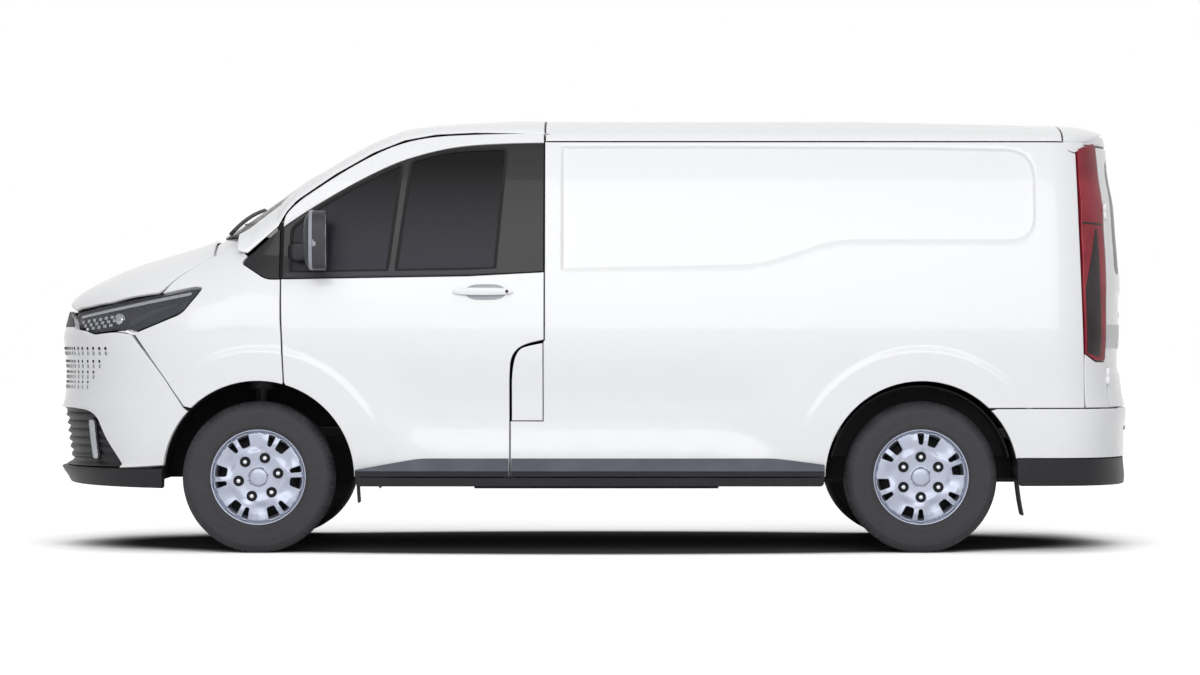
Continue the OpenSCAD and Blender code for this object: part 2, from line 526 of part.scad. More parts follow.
// ---- Front suspension and knuckles --------------------------------------------------------------------
ball_z = tyre_r - 111;              // lower ball joint, below the wheel's centre
pin_r = 11;
pin_play = 2;
spring_r = 72;
upper_pin_z = tyre_r + 103;         // upper pin, above the wheel's centre
module front_suspension() color(steel) {
    block([xf - 150, -arm_y, ball_z + 18], [xf + 150, arm_y, ball_z + 98]);
    both() {
        difference() {
            union() {
                along_z([[xf - 130, arm_y + 4], [xf + 110, arm_y + 4], [xf + 45, arm_y + 120], [xf + 28, kingpin_y],
                    [xf - 28, kingpin_y], [xf - 60, arm_y + 120]], ball_z - 14, ball_z + 14);
                translate([xf, kingpin_y, ball_z - 14]) cylinder(r = 28, h = 28, $fn = 64);
                block([xf - 120, arm_y - 4, ball_z - 14], [xf + 100, arm_y + 4, ball_z + 58]);
            }
            translate([xf, kingpin_y, ball_z - 20]) cylinder(r = pin_r + pin_play, h = 40, $fn = 64);
        }
        // Strut with its spring, and the bracket that holds the knuckle's upper pin
        translate([xf, strut_y, upper_pin_z - 6]) cylinder(r = 24, h = 301, $fn = 64);
        translate([xf, strut_y, upper_pin_z + 294]) cylinder(r = spring_r, h = 150, $fn = 64);
        difference() {
            union() {
                block([xf - 20, strut_y, upper_pin_z + 6], [xf + 20, kingpin_y, upper_pin_z + 26]);
                translate([xf, kingpin_y, upper_pin_z + 6]) cylinder(r = 26, h = 20, $fn = 64);
            }
            translate([xf, kingpin_y, upper_pin_z]) cylinder(r = pin_r + pin_play, h = 40, $fn = 64);
        }
    }
}
stub_r = 20;
hub_play = 1;
module knuckle() color(steel) {
    tube_face(55, kingpin_y - 30, kingpin_y + 8);
    tube_face(stub_r, kingpin_y, wheel_y + 40);
    block([xf - 26, kingpin_y - 26, ball_z + 20], [xf + 26, kingpin_y + 6, upper_pin_z]);
    translate([xf, kingpin_y, ball_z - 10]) cylinder(r = pin_r, h = 60, $fn = 64);
    translate([xf, kingpin_y, upper_pin_z - 20]) cylinder(r = pin_r, h = 42, $fn = 64);
    // Steering arm
    block([xf - 120, kingpin_y - 28, tyre_r - 60], [xf, kingpin_y - 8, tyre_r - 30]);
}
module tube_face(r, y0, y1) translate([xf, 0, tyre_r]) tube_y(r, y0, y1);

// ---- Rear suspension ----------------------------------------------------------------------------------
module rear_suspension() color(steel) {
    translate([xr, 0, tyre_r - 20]) tube_y(38, -house_y + 20, house_y - 20);
    both() {
        translate([xr, 0, tyre_r]) tube_y(62, house_y - 30, wheel_y - tyre_w / 2 + 8);
        translate([xr, 0, tyre_r]) tube_y(stub_r, wheel_y - tyre_w / 2, wheel_y + 40);
        block([xr - 560, rail_y - 130, 300], [xr + 560, rail_y - 70, 304 + 14]);
        block([xr - 60, rail_y - 134, 300], [xr + 60, rail_y - 66, tyre_r - 10]);
        block([xr + 530, rail_y - 120, 300], [xr + 560, rail_y - 80, rail_top - 96]);
        block([xr - 560, rail_y - 120, 300], [xr - 530, rail_y - 80, rail_top - 96]);
    }
}
module engine_block() color(steel) block([xf + 70, -rail_y + 110, 420], [xf + 560, rail_y - 100, 1010]);
module radiator() color(steel) block([nose_x - 300, -rail_y + 70, 420], [nose_x - 240, rail_y - 70, 900]);
module fuel_tank() color(plastic) block([xr + 900, -rail_y + 30, 270], [xf - 960, rail_y - 50, 420]);
exhaust_y = -rail_y - 190;
module exhaust() color([0.5, 0.5, 0.5]) {
    translate([xr + 520, exhaust_y, 350]) rotate([0, 90, 0]) cylinder(r = 26, h = 700, $fn = 48);
    translate([xr + 1190, exhaust_y, 350]) rotate([0, 90, 0]) cylinder(r = 85, h = 420, $fn = 64);
}

// ---- Cab ----------------------------------------------------------------------------------------------
function inner_y(x, z) = side_y(x, z) - wall - 34;
module bulkhead() color([0.55, 0.56, 0.58]) let (x = xf + bulkhead_u,
    zs = [for (z = [floor_z + 1, 900, 1130, 1300, 1500, 1700, 1800]) z <= floor_z + 1 ? z : stretch(z)])
    along_x(concat([for (z = zs) [inner_y(x, z) + 20, z]], [[600, under_roof(1905)], [0, under_roof(1930)],
        [-600, under_roof(1905)]], [for (i = [len(zs) - 1:-1:0]) [-inner_y(x, zs[i]) - 20, zs[i]]]), x - 25, x);
dash_half = half_width - 165;
module dashboard() color(plastic) difference() {
    dash_body();
    at_wheel() translate([0, 0, -400]) cylinder(r = 40, h = 380, $fn = 64);
}
module dash_body() along_y([[xf + 5, 900], [xf + 5, 1200], [xf - 60, 1225], [xf - 330, 1235],
    [xf - 470, 1170], [xf - 480, 1080], [xf - 380, 960], [xf - 300, 760], [xf - 260, 760], [xf - 150, 900]],
    -dash_half, dash_half);
seat_z = floor_z + 290;
module seat(y0, y1) {
    block([xf - 1270, y0, floor_z + 1], [xf - 780, y1, seat_z - 100]);
    along_y([[xf - 1290, seat_z - 99], [xf - 770, seat_z - 99], [xf - 740, seat_z - 20],
        [xf - 790, seat_z + 50], [xf - 1180, seat_z + 10], [xf - 1250, stretch(1500)],
        [xf - 1325, stretch(1500)]], y0, y1);
    along_y([[xf - 1322, stretch(1502)], [xf - 1245, stretch(1502)], [xf - 1255, stretch(1690)],
        [xf - 1318, stretch(1690)]], (y0 + y1) / 2 - 130, (y0 + y1) / 2 + 130);
}
driver_y = 400;
module seats() color([0.16, 0.16, 0.18]) {
    seat(driver_y - 250, driver_y + 250);
    seat(-650, -150);
}
wheel_pos = [xf - 620, driver_y, 1205];
column_tilt = 58;                  // the steering wheel's axis above the horizontal, counted from upright
module at_wheel() translate(wheel_pos) rotate([0, -column_tilt, 0]) children();
module steering_wheel() color(plastic) at_wheel() {
    rotate_extrude($fn = 96) translate([182, 0]) circle(r = 15, $fn = 32);
    cylinder(r = 62, h = 30, center = true, $fn = 64);
    for (a = [0, 120, 240]) rotate([0, 0, a]) translate([50, -16, -8]) cube([125, 32, 14]);
}
module steering_column() color(plastic) at_wheel() translate([0, 0, -175]) cylinder(r = 32, h = 150, $fn = 64);

// ---- Wheels -------------------------------------------------------------------------------------------
fit_play = 0.3;
module tyre(x, sy) color([0.07, 0.07, 0.075]) translate([x, sy * wheel_y, tyre_r]) rotate([90, 0, 0])
    rotate_extrude($fn = 128) polygon([[rim_r + fit_play, -tyre_w * 0.4], [rim_r + fit_play, tyre_w * 0.4],
        [rim_r + 30, tyre_w * 0.47], [rim_r + 75, tyre_w * 0.5], [tyre_r - 32, tyre_w * 0.46],
        [tyre_r - 8, tyre_w * 0.38], [tyre_r, tyre_w * 0.3], [tyre_r, -tyre_w * 0.3],
        [tyre_r - 8, -tyre_w * 0.38], [tyre_r - 32, -tyre_w * 0.46], [rim_r + 75, -tyre_w * 0.5],
        [rim_r + 30, -tyre_w * 0.47]]);
rim_t = 9;
module wheel(x, sy) color([0.66, 0.68, 0.71]) translate([x, sy * wheel_y, tyre_r]) rotate([sy * -90, 0, 0])
    difference() {
        rotate_extrude($fn = 128) polygon([[rim_r, -tyre_w * 0.42], [rim_r, tyre_w * 0.42],
            [rim_r - rim_t, tyre_w * 0.42], [rim_r - rim_t, 52], [130, 66], [60, 74], [0, 78], [0, 20],
            [80, 20], [120, 40], [rim_r - rim_t - 14, 20], [rim_r - rim_t - 8, -tyre_w * 0.42]]);
        translate([0, 0, -10]) cylinder(r = stub_r + hub_play, h = 10 + 40 + 4, $fn = 64);
    }

floor_pan();
chassis_rails();
front_suspension();
rear_suspension();
engine_block();
radiator();
fuel_tank();
exhaust();
bulkhead();
dashboard();
seats();
steering_column();
steering_wheel();
side_panel_left();
side_panel_right();
sliding_door();
roof();
windscreen_frame();
windscreen();
front_wings();
bonnet();
front_bumper();
lower_grille();
headlamps();
tail_lamps();
rear_bumper();
lower_trims();
wheelhouses();
flap_body();  // filler_flap
front_door();  // front_door_left
mirror([0, 1, 0]) front_door();  // front_door_right
door_glass();  // door_glass_left
mirror([0, 1, 0]) door_glass();  // door_glass_right
mirror_unit();  // mirror_left
mirror([0, 1, 0]) mirror_unit();  // mirror_right
rear_door();  // rear_door_left
mirror([0, 1, 0]) rear_door();  // rear_door_right
rear_glass();  // rear_glass_left
mirror([0, 1, 0]) rear_glass();  // rear_glass_right
knuckle();  // knuckle_left
mirror([0, 1, 0]) knuckle();  // knuckle_right
tyre(xf, 1);  // tyre_front_left
tyre(xf, -1);  // tyre_front_right
tyre(xr, 1);  // tyre_rear_left
tyre(xr, -1);  // tyre_rear_right
wheel(xf, 1);  // wheel_front_left
wheel(xf, -1);  // wheel_front_right
wheel(xr, 1);  // wheel_rear_left
wheel(xr, -1);  // wheel_rear_right
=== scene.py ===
# %% [markdown]
# A panel van is mostly thin pressed skins hung on a few hidden frames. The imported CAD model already
# holds every part and joint in its place, so this script loads it as a fixed frame and dresses it.
# Each skin is built again here as a fine mesh on the same curves, with rounded edges and narrow gaps.

# %% Load the frame
import math
import random

import bmesh
import bpy
import numpy as np
from mathutils import Matrix, Vector
from mathutils.geometry import delaunay_2d_cdt


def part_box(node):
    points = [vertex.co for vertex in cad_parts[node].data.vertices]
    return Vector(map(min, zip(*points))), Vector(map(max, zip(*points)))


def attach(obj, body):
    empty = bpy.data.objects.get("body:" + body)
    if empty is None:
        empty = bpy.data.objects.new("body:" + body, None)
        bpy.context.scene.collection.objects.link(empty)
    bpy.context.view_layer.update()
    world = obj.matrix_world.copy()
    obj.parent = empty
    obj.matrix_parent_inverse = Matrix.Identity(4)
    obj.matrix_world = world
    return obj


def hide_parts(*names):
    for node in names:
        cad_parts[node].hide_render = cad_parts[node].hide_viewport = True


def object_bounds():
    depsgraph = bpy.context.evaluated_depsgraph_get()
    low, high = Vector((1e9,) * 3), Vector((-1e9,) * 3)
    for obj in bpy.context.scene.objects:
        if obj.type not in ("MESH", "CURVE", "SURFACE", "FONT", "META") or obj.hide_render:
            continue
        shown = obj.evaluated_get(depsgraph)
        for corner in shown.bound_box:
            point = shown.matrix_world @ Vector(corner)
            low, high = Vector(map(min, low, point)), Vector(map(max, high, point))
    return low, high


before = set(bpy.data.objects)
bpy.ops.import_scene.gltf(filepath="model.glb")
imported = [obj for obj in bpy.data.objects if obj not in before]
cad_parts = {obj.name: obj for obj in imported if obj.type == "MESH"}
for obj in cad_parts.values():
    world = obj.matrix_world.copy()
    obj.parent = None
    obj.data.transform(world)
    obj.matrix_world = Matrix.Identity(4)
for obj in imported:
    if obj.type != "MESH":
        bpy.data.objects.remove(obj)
cad_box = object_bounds()
random.seed(7)
print("nodes in the frame:", len(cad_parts))

# %% [markdown]
# The axles, the half width, the roof and both ends come from the boxes of the CAD nodes. Outlines are
# given as distances from an axle, so a pack with moved axles carries the skins with it.


# %% Driving sizes from the frame
def middle(node):
    low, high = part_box(node)
    return (low + high) / 2


XF = middle("tyre_front_left").x
XR = middle("tyre_rear_left").x
WHEEL_Y = middle("tyre_front_left").y
TYRE_R = middle("tyre_front_left").z
TYRE_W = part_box("tyre_front_left")[1].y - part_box("tyre_front_left")[0].y
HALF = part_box("side_panel_left")[1].y
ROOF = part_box("roof")[1].z
NOSE_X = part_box("front_bumper")[1].x
TAIL_X = cad_box[0][0] + .001
ARCH_R = 0.435
CORNER_F = XF - 0.1
CORNER_R = XR - 0.5
SHOULDER_Z = 0.95
SIDES = ((1, "left"), (-1, "right"))
print("axles", round(XF, 3), round(XR, 3), "half width", round(HALF, 3), "roof", round(ROOF, 3))

# %% [markdown]
# The whole body follows one master surface. A section gives the side's inset at each height, two end
# profiles lean the nose and tail, and a superellipse turns the corners. Every panel samples these same
# functions, which is how real panels are trimmed from one styling surface and so line up at the gaps.

# %% The master surface
SECTION = ([.23, .345, .43, .56, .7, .83, .92, 1., 1.12, 1.25, 1.38, 1.5, 1.6, 1.7, 1.79, 1.866, 1.89,
    1.907, 1.92, 1.93], [.045, .025, .015, .011, .009, .004, 0, .002, .011, .025, .042, .06, .078, .099,
    .121, .143, .155, .169, .19, .215])
NOSE_LEAN = ([.27, .33, .382, .4, .513, .603, .653, .671, .739, .807, .875, .942, .988, 1.019, 1.086,
    1.15], [.06, .03, 0, .033, .019, .009, 0, .007, .019, .023, .019, .011, .009, .019, .037, .06])
TAIL_LEAN = ([.27, .34, .39, .52, .64, .68, .75, .87, 1., 1.3, 1.446, 1.6, 1.7, 1.866, 1.931],
    [.01, .003, .009, .012, 0, .012, .026, .036, .029, .032, .043, .055, .074, .095, .103])
FRONT_TOP = ([-1.166, -.975, -.88, -.784, -.689, -.594, -.498, -.403, -.307, -.212, -.116, -.021, .074,
    .17, .265, .36, .456, .551, .647, .742, .838, .89, .933, .95],
    [1.99, 1.979, 1.974, 1.965, 1.955, 1.931, 1.893, 1.841, 1.783, 1.731, 1.669, 1.607, 1.54, 1.473,
    1.416, 1.383, 1.354, 1.326, 1.292, 1.254, 1.211, 1.18, 1.14, 1.098])
REAR_TOP = ([-1.013, -.932, -.837, -.742, -.551, -.265, .022, .214],
    [1.915, 1.931, 1.95, 1.965, 1.97, 1.978, 1.985, 1.99])


def smooth_table(table):
    """A profile's points as a monotone cubic curve, sampled finely, so that reflections run smoothly."""
    x, y = (np.array(t, float) for t in table)
    d = np.diff(y) / np.diff(x)
    m = np.concatenate([[d[0]], (d[1:] + d[:-1]) / 2, [d[-1]]])
    m[1:-1][d[1:] * d[:-1] <= 0] = 0
    fine = np.linspace(x[0], x[-1], 400)
    k = np.clip(np.searchsorted(x, fine) - 1, 0, len(x) - 2)
    h = x[k + 1] - x[k]
    t = (fine - x[k]) / h
    value = ((2 * t ** 3 - 3 * t ** 2 + 1) * y[k] + (t ** 3 - 2 * t ** 2 + t) * h * m[k]
        + (3 * t ** 2 - 2 * t ** 3) * y[k + 1] + (t ** 3 - t ** 2) * h * m[k + 1])
    return lambda at: np.interp(at, fine, value)


section, nose_lean, tail_lean, front_top, rear_top = (smooth_table(t) for t in (SECTION, NOSE_LEAN,
    TAIL_LEAN, FRONT_TOP, REAR_TOP))


def ease(v):
    v = np.clip(v, 0, 1)
    return v * v * (3 - 2 * v)


def wall_y(z):
    return HALF - section(z)


def nose_at(z):
    return NOSE_X - nose_lean(z)


def tail_at(z):
    return TAIL_X + tail_lean(z)


def round_end(t):
    return np.maximum(0, 1 - np.maximum(0, t) ** 3) ** (1 / 3)


def cab_narrow(x, z):
    u = np.clip((x - XF + 1.29) / 1.4, 0, 1)
    return .022 * u ** 2 + .048 * u ** 2 * np.clip((z - 1.15) / .2, 0, 1)


def side_y(x, z):
    return ((wall_y(z) - cab_narrow(x, z)) * round_end((x - CORNER_F) / (nose_at(z) - CORNER_F))
        * round_end((CORNER_R - x) / (CORNER_R - tail_at(z))))


def top_z(x):
    return np.where(x > (XF + XR) / 2, front_top(x - XF), rear_top(x - XR))


def shoulder_y(x):
    return side_y(np.minimum(x, nose_at(SHOULDER_Z) - .001), SHOULDER_Z)


def bonnet_z(x, y):
    return SHOULDER_Z + (top_z(x) - SHOULDER_Z) * np.maximum(0, 1 - np.abs(y / shoulder_y(x)) ** 4) ** .4


def wing_y(x, z):
    q = np.clip((z - SHOULDER_Z) / (top_z(x) - SHOULDER_Z), 0, 1)
    return np.where(z <= SHOULDER_Z, side_y(x, z), shoulder_y(x) * np.maximum(0, 1 - q ** 2.5) ** .25)


print("side at the belt line:", round(float(side_y(0., 1.27)), 3))

# %% [markdown]
# Outlines are drawn as few points with a rounding at each, the way a template is drawn: straight runs
# between corners, and a corner rounded by a curve that starts and ends a set distance from it.


# %% Outlines
def off(axle, points):
    """Outline points whose lengths are given from an axle, as lengths in the frame."""
    return [(axle + x, *rest) for x, *rest in points]


def spot(surf, p, q):
    """A surface's value at one flat place."""
    return surf(np.array([p]), np.array([q]))[0]


def outline(points, step=.02, closed=True):
    """Points (p, q, rounding). Rounding 1 uses half of both edges, so a run of such points is a spline."""
    pts = [np.array(p[:2], float) for p in points]
    n = len(pts)
    out = []
    for i in range(n):
        r = points[i][2] if len(points[i]) > 2 else 0
        if not closed and i in (0, n - 1) or not r:
            out.append(pts[i])
            continue
        a, b, c = pts[i - 1], pts[i], pts[(i + 1) % n]
        la, lc = np.linalg.norm(a - b), np.linalg.norm(c - b)
        s, e = b + (a - b) * min(r / la, .5), b + (c - b) * min(r / lc, .5)
        for t in np.linspace(0, 1, 9):
            out.append((1 - t) ** 2 * s + 2 * t * (1 - t) * b + t * t * e)
    even = []
    for i in range(len(out) if closed else len(out) - 1):
        a, b = out[i], out[(i + 1) % len(out)]
        d = np.linalg.norm(b - a)
        if d > 1e-5:
            k = max(1, int(math.ceil(d / step)))
            even += [a + (b - a) * j / k for j in range(k)]
    if not closed:
        even.append(out[-1])
    keep = [even[0]]
    for p in even[1:]:
        if np.linalg.norm(p - keep[-1]) > .0012:
            keep.append(p)
    return np.array(keep)


def area(loop):
    x, y = loop[:, 0], loop[:, 1]
    return float(np.sum(x * np.roll(y, -1) - np.roll(x, -1) * y)) / 2


def grow(loop, d):
    """The closed outline moved outwards by d, or inwards where d is negative."""
    t = np.roll(loop, -1, 0) - np.roll(loop, 1, 0)
    t /= np.maximum(np.linalg.norm(t, axis=1, keepdims=True), 1e-9)
    side = 1 if area(loop) > 0 else -1
    return loop + side * d * np.stack([t[:, 1], -t[:, 0]], 1)


def inside(p, loop):
    x, y = p[:, 0:1], p[:, 1:2]
    a, b = loop, np.roll(loop, -1, 0)
    cut = (a[None, :, 1] > y) != (b[None, :, 1] > y)
    rise = np.where(b[:, 1] == a[:, 1], 1e-12, b[:, 1] - a[:, 1])
    cross = x < (b[:, 0] - a[:, 0])[None] * (y - a[None, :, 1]) / rise[None] + a[None, :, 0]
    return (cut & cross).sum(1) % 2 == 1


def distance(p, line, closed=True):
    """Shortest distance from each point to a line of points."""
    a = line if closed else line[:-1]
    b = np.roll(line, -1, 0) if closed else line[1:]
    best = np.full(len(p), 1e9)
    for i in range(0, len(p), 2000):
        q = p[i:i + 2000, None]
        d = (b - a)[None]
        t = np.clip(((q - a[None]) * d).sum(2) / np.maximum((d ** 2).sum(2), 1e-12), 0, 1)
        best[i:i + 2000] = np.sqrt((((a[None] + d * t[..., None]) - q) ** 2).sum(2)).min(1)
    return best


def depth_in(p, loop):
    """Distance to a closed outline, positive inside it."""
    return np.where(inside(p, loop), 1, -1) * distance(p, loop)


print("outline helpers ready")

# %% [markdown]
# Finishes are node graphs. One small class wraps a socket so that masks and colours can be written as
# plain sums, and one method makes any other node. That keeps each finish a few readable lines.


# %% Shader helper
class Wire:
    """A shader socket that takes part in arithmetic."""

    def __init__(self, finish, socket):
        self.finish, self.socket = finish, socket

    def math(self, kind, *rest):
        return self.finish.node("ShaderNodeMath", {"operation": kind}, dict(enumerate((self, *rest))))

    def __add__(self, other): return self.math("ADD", other)
    def __radd__(self, other): return self.math("ADD", other)
    def __sub__(self, other): return self.math("SUBTRACT", other)
    def __rsub__(self, other): return self.finish.node("ShaderNodeMath", {"operation": "SUBTRACT"},
                                                       {0: other, 1: self})
    def __mul__(self, other): return self.math("MULTIPLY", other)
    def __rmul__(self, other): return self.math("MULTIPLY", other)
    def __truediv__(self, other): return self.math("DIVIDE", other)
    def __rtruediv__(self, other): return self.finish.node("ShaderNodeMath", {"operation": "DIVIDE"},
                                                           {0: other, 1: self})
    def __pow__(self, other): return self.math("POWER", other)

    def within(self, low, high):
        """0 below low, 1 above high, smooth between."""
        return self.finish.node("ShaderNodeMapRange", {"interpolation_type": "SMOOTHSTEP"},
            {"Value": self, "From Min": low, "From Max": high})


class Finish:
    """A material: fixed numbers on the shader's own sockets, and wires for what changes over it."""

    def __init__(self, name, colour, roughness=.5, **fixed):
        self.material = bpy.data.materials.new(name)
        self.material.use_nodes = True
        self.tree = self.material.node_tree
        self.shader = self.tree.nodes["Principled BSDF"]
        self.colour = (*colour, 1)
        self.shader.inputs["Base Color"].default_value = self.colour
        self.shader.inputs["Roughness"].default_value = roughness
        for socket, value in fixed.items():
            self.shader.inputs[socket.replace("_", " ")].default_value = value

    def node(self, kind, settings=None, sockets=None, out=0):
        n = self.tree.nodes.new(kind)
        for key, value in (settings or {}).items():
            if key == "stops":
                ramp = n.color_ramp.elements
                while len(ramp) < len(value):
                    ramp.new(1)
                for element, (at, c) in zip(ramp, value):
                    element.position, element.color = at, (*c, 1)
            else:
                setattr(n, key, value)
        for key, value in (sockets or {}).items():
            if isinstance(value, Wire):
                self.tree.links.new(value.socket, n.inputs[key])
            else:
                n.inputs[key].default_value = value
        return Wire(self, n.outputs[out])

    def feed(self, socket, wire):
        self.tree.links.new(wire.socket, self.shader.inputs[socket])

    def place(self):
        return self.node("ShaderNodeTexCoord", out="Object")

    def axis(self, letter):
        return self.node("ShaderNodeSeparateXYZ", sockets={0: self.place()}, out=letter)

    def noise(self, scale, detail=2, stretch=(1, 1, 1)):
        at = self.node("ShaderNodeMapping", sockets={0: self.place(), "Scale": stretch})
        return self.node("ShaderNodeTexNoise", sockets={"Vector": at, "Scale": scale, "Detail": detail})

    def mix(self, factor, a, b):
        """Colour a where factor is 0 and b where it is 1."""
        tint = [(*c, 1) if isinstance(c, tuple) else c for c in (a, b)]
        return self.node("ShaderNodeMix", {"data_type": "RGBA"}, {0: factor, 6: tint[0], 7: tint[1]},
            out=2)

    def bump(self, height, strength, distance=.001):
        self.feed("Normal", self.node("ShaderNodeBump",
            sockets={"Height": height, "Strength": strength, "Distance": distance}))


def srgb(r, g, b):
    """A colour as it looks on a screen, 0 to 255, in the linear values that a shader wants."""
    return tuple(((c / 255 + .055) / 1.055) ** 2.4 if c > 10 else c / 255 / 12.92 for c in (r, g, b))


print("shader helper ready")

# %% [markdown]
# White van paint is a solid enamel under clear lacquer. It isn't quite flat: a fine orange peel breaks
# up the gloss, and road film greys the lowest hand's width, so two faint noises feed bump and colour.


# %% Body paint
def white_paint():
    f = Finish("white_enamel", srgb(240, 241, 243), .32, Coat_Weight=.5, Coat_Roughness=.04)
    film = (1 - f.axis("Z").within(.25, .62)) * f.noise(9, 4).within(.25, .85) * .22
    f.feed("Base Color", f.mix(film, srgb(241, 242, 244), srgb(176, 176, 172)))
    f.feed("Roughness", f.noise(3, 2) * .08 + .28)
    f.bump(f.noise(420, 1), .035, .0006)
    return f.material


PAINT = white_paint()
print("paint:", PAINT.name)

# %% [markdown]
# Bumper ends, sills and mirror shells are moulded in grained black plastic. Its grain is a fine cell
# pattern in the bump, and the sheen dulls where hands and road grit have rubbed it.


# %% Plastics and rubber
def grained(name, colour, roughness, scale=900, strength=.25, below=None):
    """A grained plastic or coat, which turns to black underseal under the height below."""
    f = Finish(name, colour, roughness, Specular_IOR_Level=.3)
    cell = f.node("ShaderNodeTexVoronoi", sockets={"Vector": f.place(), "Scale": scale})
    worn = f.noise(6, 3)
    tint = f.mix(worn.within(.35, .8) * .35, colour, tuple(min(1, c * 1.7 + .01) for c in colour))
    if below:
        tint = f.mix(f.axis(2).within(below - .001, below + .001), srgb(14, 14, 16), tint)
    f.feed("Base Color", tint)
    f.feed("Roughness", worn * .16 + (roughness - .08))
    f.bump(cell, strength, .0006)
    return f.material


TRIM = grained("grained_black_trim", srgb(24, 24, 28), .5)
SHELL = grained("mirror_shell", srgb(56, 56, 60), .42, 1400, .12)
# The chamfer grey is a painted highlight: the sky that the upward-leaning chamfer reflects, painted into a
# lighter plastic.
CHAMFER_HIGHLIGHT = grained("cladding_chamfer_painted_highlight", srgb(84, 86, 96), .45)
SEAL = grained("waist_seal", srgb(56, 55, 62), .5)
DARK = grained("inner_black", srgb(16, 16, 18), .7)
CAB = grained("cab_moulding", srgb(66, 67, 71), .6, 700)
GREY = grained("cab_lining", srgb(150, 151, 153), .8, 500)


def gloss_black():
    f = Finish("gloss_black_pillar", srgb(20, 20, 24), .16, Specular_IOR_Level=.3, Coat_Weight=.15)
    f.feed("Roughness", f.noise(4, 3) * .1 + .3)
    return f.material


def rubber():
    f = Finish("tyre_rubber", srgb(42, 41, 45), .72)
    dust = f.noise(14, 4).within(.3, .8)
    f.feed("Base Color", f.mix(dust * .5, srgb(36, 35, 40), srgb(70, 69, 74)))
    f.feed("Roughness", dust * .15 + .62)
    f.bump(f.noise(260, 2), .2, .0006)
    return f.material


BLACK = gloss_black()
RUBBER = rubber()
print("plastics and rubber made")

# %% [markdown]
# The cab glass is tinted dark and curves a little; its soft gradient from the top edge down is a painted
# reflection, dark at the top and lighter low down.
# A nearly clear dark pane keeps the seats and wheel faintly visible behind it.


# %% Glass and lamps
GLASS_REFLECTION_Z = (1.27, 1.8)


def glass(name, top, low, alpha):
    f = Finish(name, top, .24, Specular_IOR_Level=.15, IOR=1.5)
    # Painted reflection: the colour runs from the lighter low tint up to the dark top tint.
    height = f.axis("Z").within(*GLASS_REFLECTION_Z)
    f.feed("Base Color", f.mix(height, low, top))
    f.feed("Alpha", f.noise(2, 1) * .02 + (alpha - .01))
    return f.material


SIDE_GLASS = glass("tinted_side_glass", srgb(6, 6, 8), srgb(46, 45, 54), .95)
SCREEN = glass("windscreen_glass", srgb(30, 32, 36), srgb(40, 44, 48), .5)
REAR_GLASS = glass("rear_glass_tint", srgb(24, 24, 28), srgb(40, 40, 44), .86)


def lens(name, colour, alpha, ribs=0, coat=.12):
    f = Finish(name, colour, .08, Specular_IOR_Level=.3, Coat_Weight=coat, Coat_Roughness=.02)
    shade = f.noise(5, 2)
    f.feed("Base Color", f.mix(shade.within(.3, .75), colour,
        tuple(min(1, c * 1.5 + .02) for c in colour)))
    f.feed("Alpha", shade * .04 + (alpha - .02))
    if ribs:
        wave = f.node("ShaderNodeTexWave", {"wave_type": "BANDS", "bands_direction": "Z"},
            {"Vector": f.place(), "Scale": ribs})
        f.bump(wave, .35, .001)
    return f.material


CLEAR = lens("clear_lens", srgb(90, 92, 102), .32)
RED = lens("red_lens", srgb(140, 24, 42), .86, 24)
SMOKE_RED = lens("smoked_red_lens", srgb(24, 8, 12), .94)


def metal(name, colour, roughness, metallic=1.0, scale=40):
    f = Finish(name, colour, roughness, Metallic=metallic)
    cloud = f.noise(scale, 3)
    f.feed("Roughness", cloud * .16 + (roughness - .08))
    f.feed("Base Color", f.mix(cloud.within(.3, .8) * .16, colour, tuple(c * .72 for c in colour)))
    f.bump(f.noise(500, 1), .05, .0005)
    return f.material


CHROME = metal("lamp_reflector", srgb(205, 207, 212), .12)
SILVER = metal("wheel_trim_silver", srgb(166, 171, 186), .36, .75)
IRON = metal("chassis_iron", srgb(38, 38, 41), .6, .3)
print("glass, lenses and metals made")

# %% [markdown]
# Every skin is made the same way, as a press shop would: a flat blank with its outline and holes is laid
# on a curved surface, its edges are turned over a small radius, and a back closes it. The blank is a
# Delaunay mesh, and its normals come from the surface itself, so the paint reflects without facets.


def made(name, verts, faces, materials, body, kinds=None, normals=None, node=None, slot=None):
    """A mesh piece that rides on a body and may stand for nodes. Its slot argument is not used."""
    me = bpy.data.meshes.new(name)
    me.from_pydata([tuple(map(float, v)) for v in verts], [], [tuple(map(int, f)) for f in faces])
    for m in materials:
        me.materials.append(m)
    if kinds is not None:
        me.polygons.foreach_set("material_index", np.array(kinds, np.int32))
    me.polygons.foreach_set("use_smooth", [True] * len(me.polygons))
    me.update()
    if normals is not None:
        me.normals_split_custom_set_from_vertices([tuple(map(float, n)) for n in normals])
    ob = added(name, me)
    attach(ob, body)
    if node:
        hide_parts(*([node] if isinstance(node, str) else node))
    return ob


def added(name, data):
    ob = bpy.data.objects.new(name, data)
    bpy.context.scene.collection.objects.link(ob)
    return ob


def bands(rows, n):
    """Quads between rows of n points that close round."""
    return [(k * n + i, k * n + (i + 1) % n, (k + 1) * n + (i + 1) % n, (k + 1) * n + i)
            for k in range(rows - 1) for i in range(n)]


def unit(v):
    return v / np.maximum(np.linalg.norm(v, axis=-1, keepdims=True), 1e-12)


def lay(surf, p, out, e=.0007):
    """Points and outward normals of a surface at flat places p."""
    dp = surf(p[:, 0] + e, p[:, 1]) - surf(p[:, 0] - e, p[:, 1])
    dq = surf(p[:, 0], p[:, 1] + e) - surf(p[:, 0], p[:, 1] - e)
    n = unit(np.cross(dp, dq))
    if float((n @ np.array(out, float)).sum()) < 0:
        n = -n
    return surf(p[:, 0], p[:, 1]), n


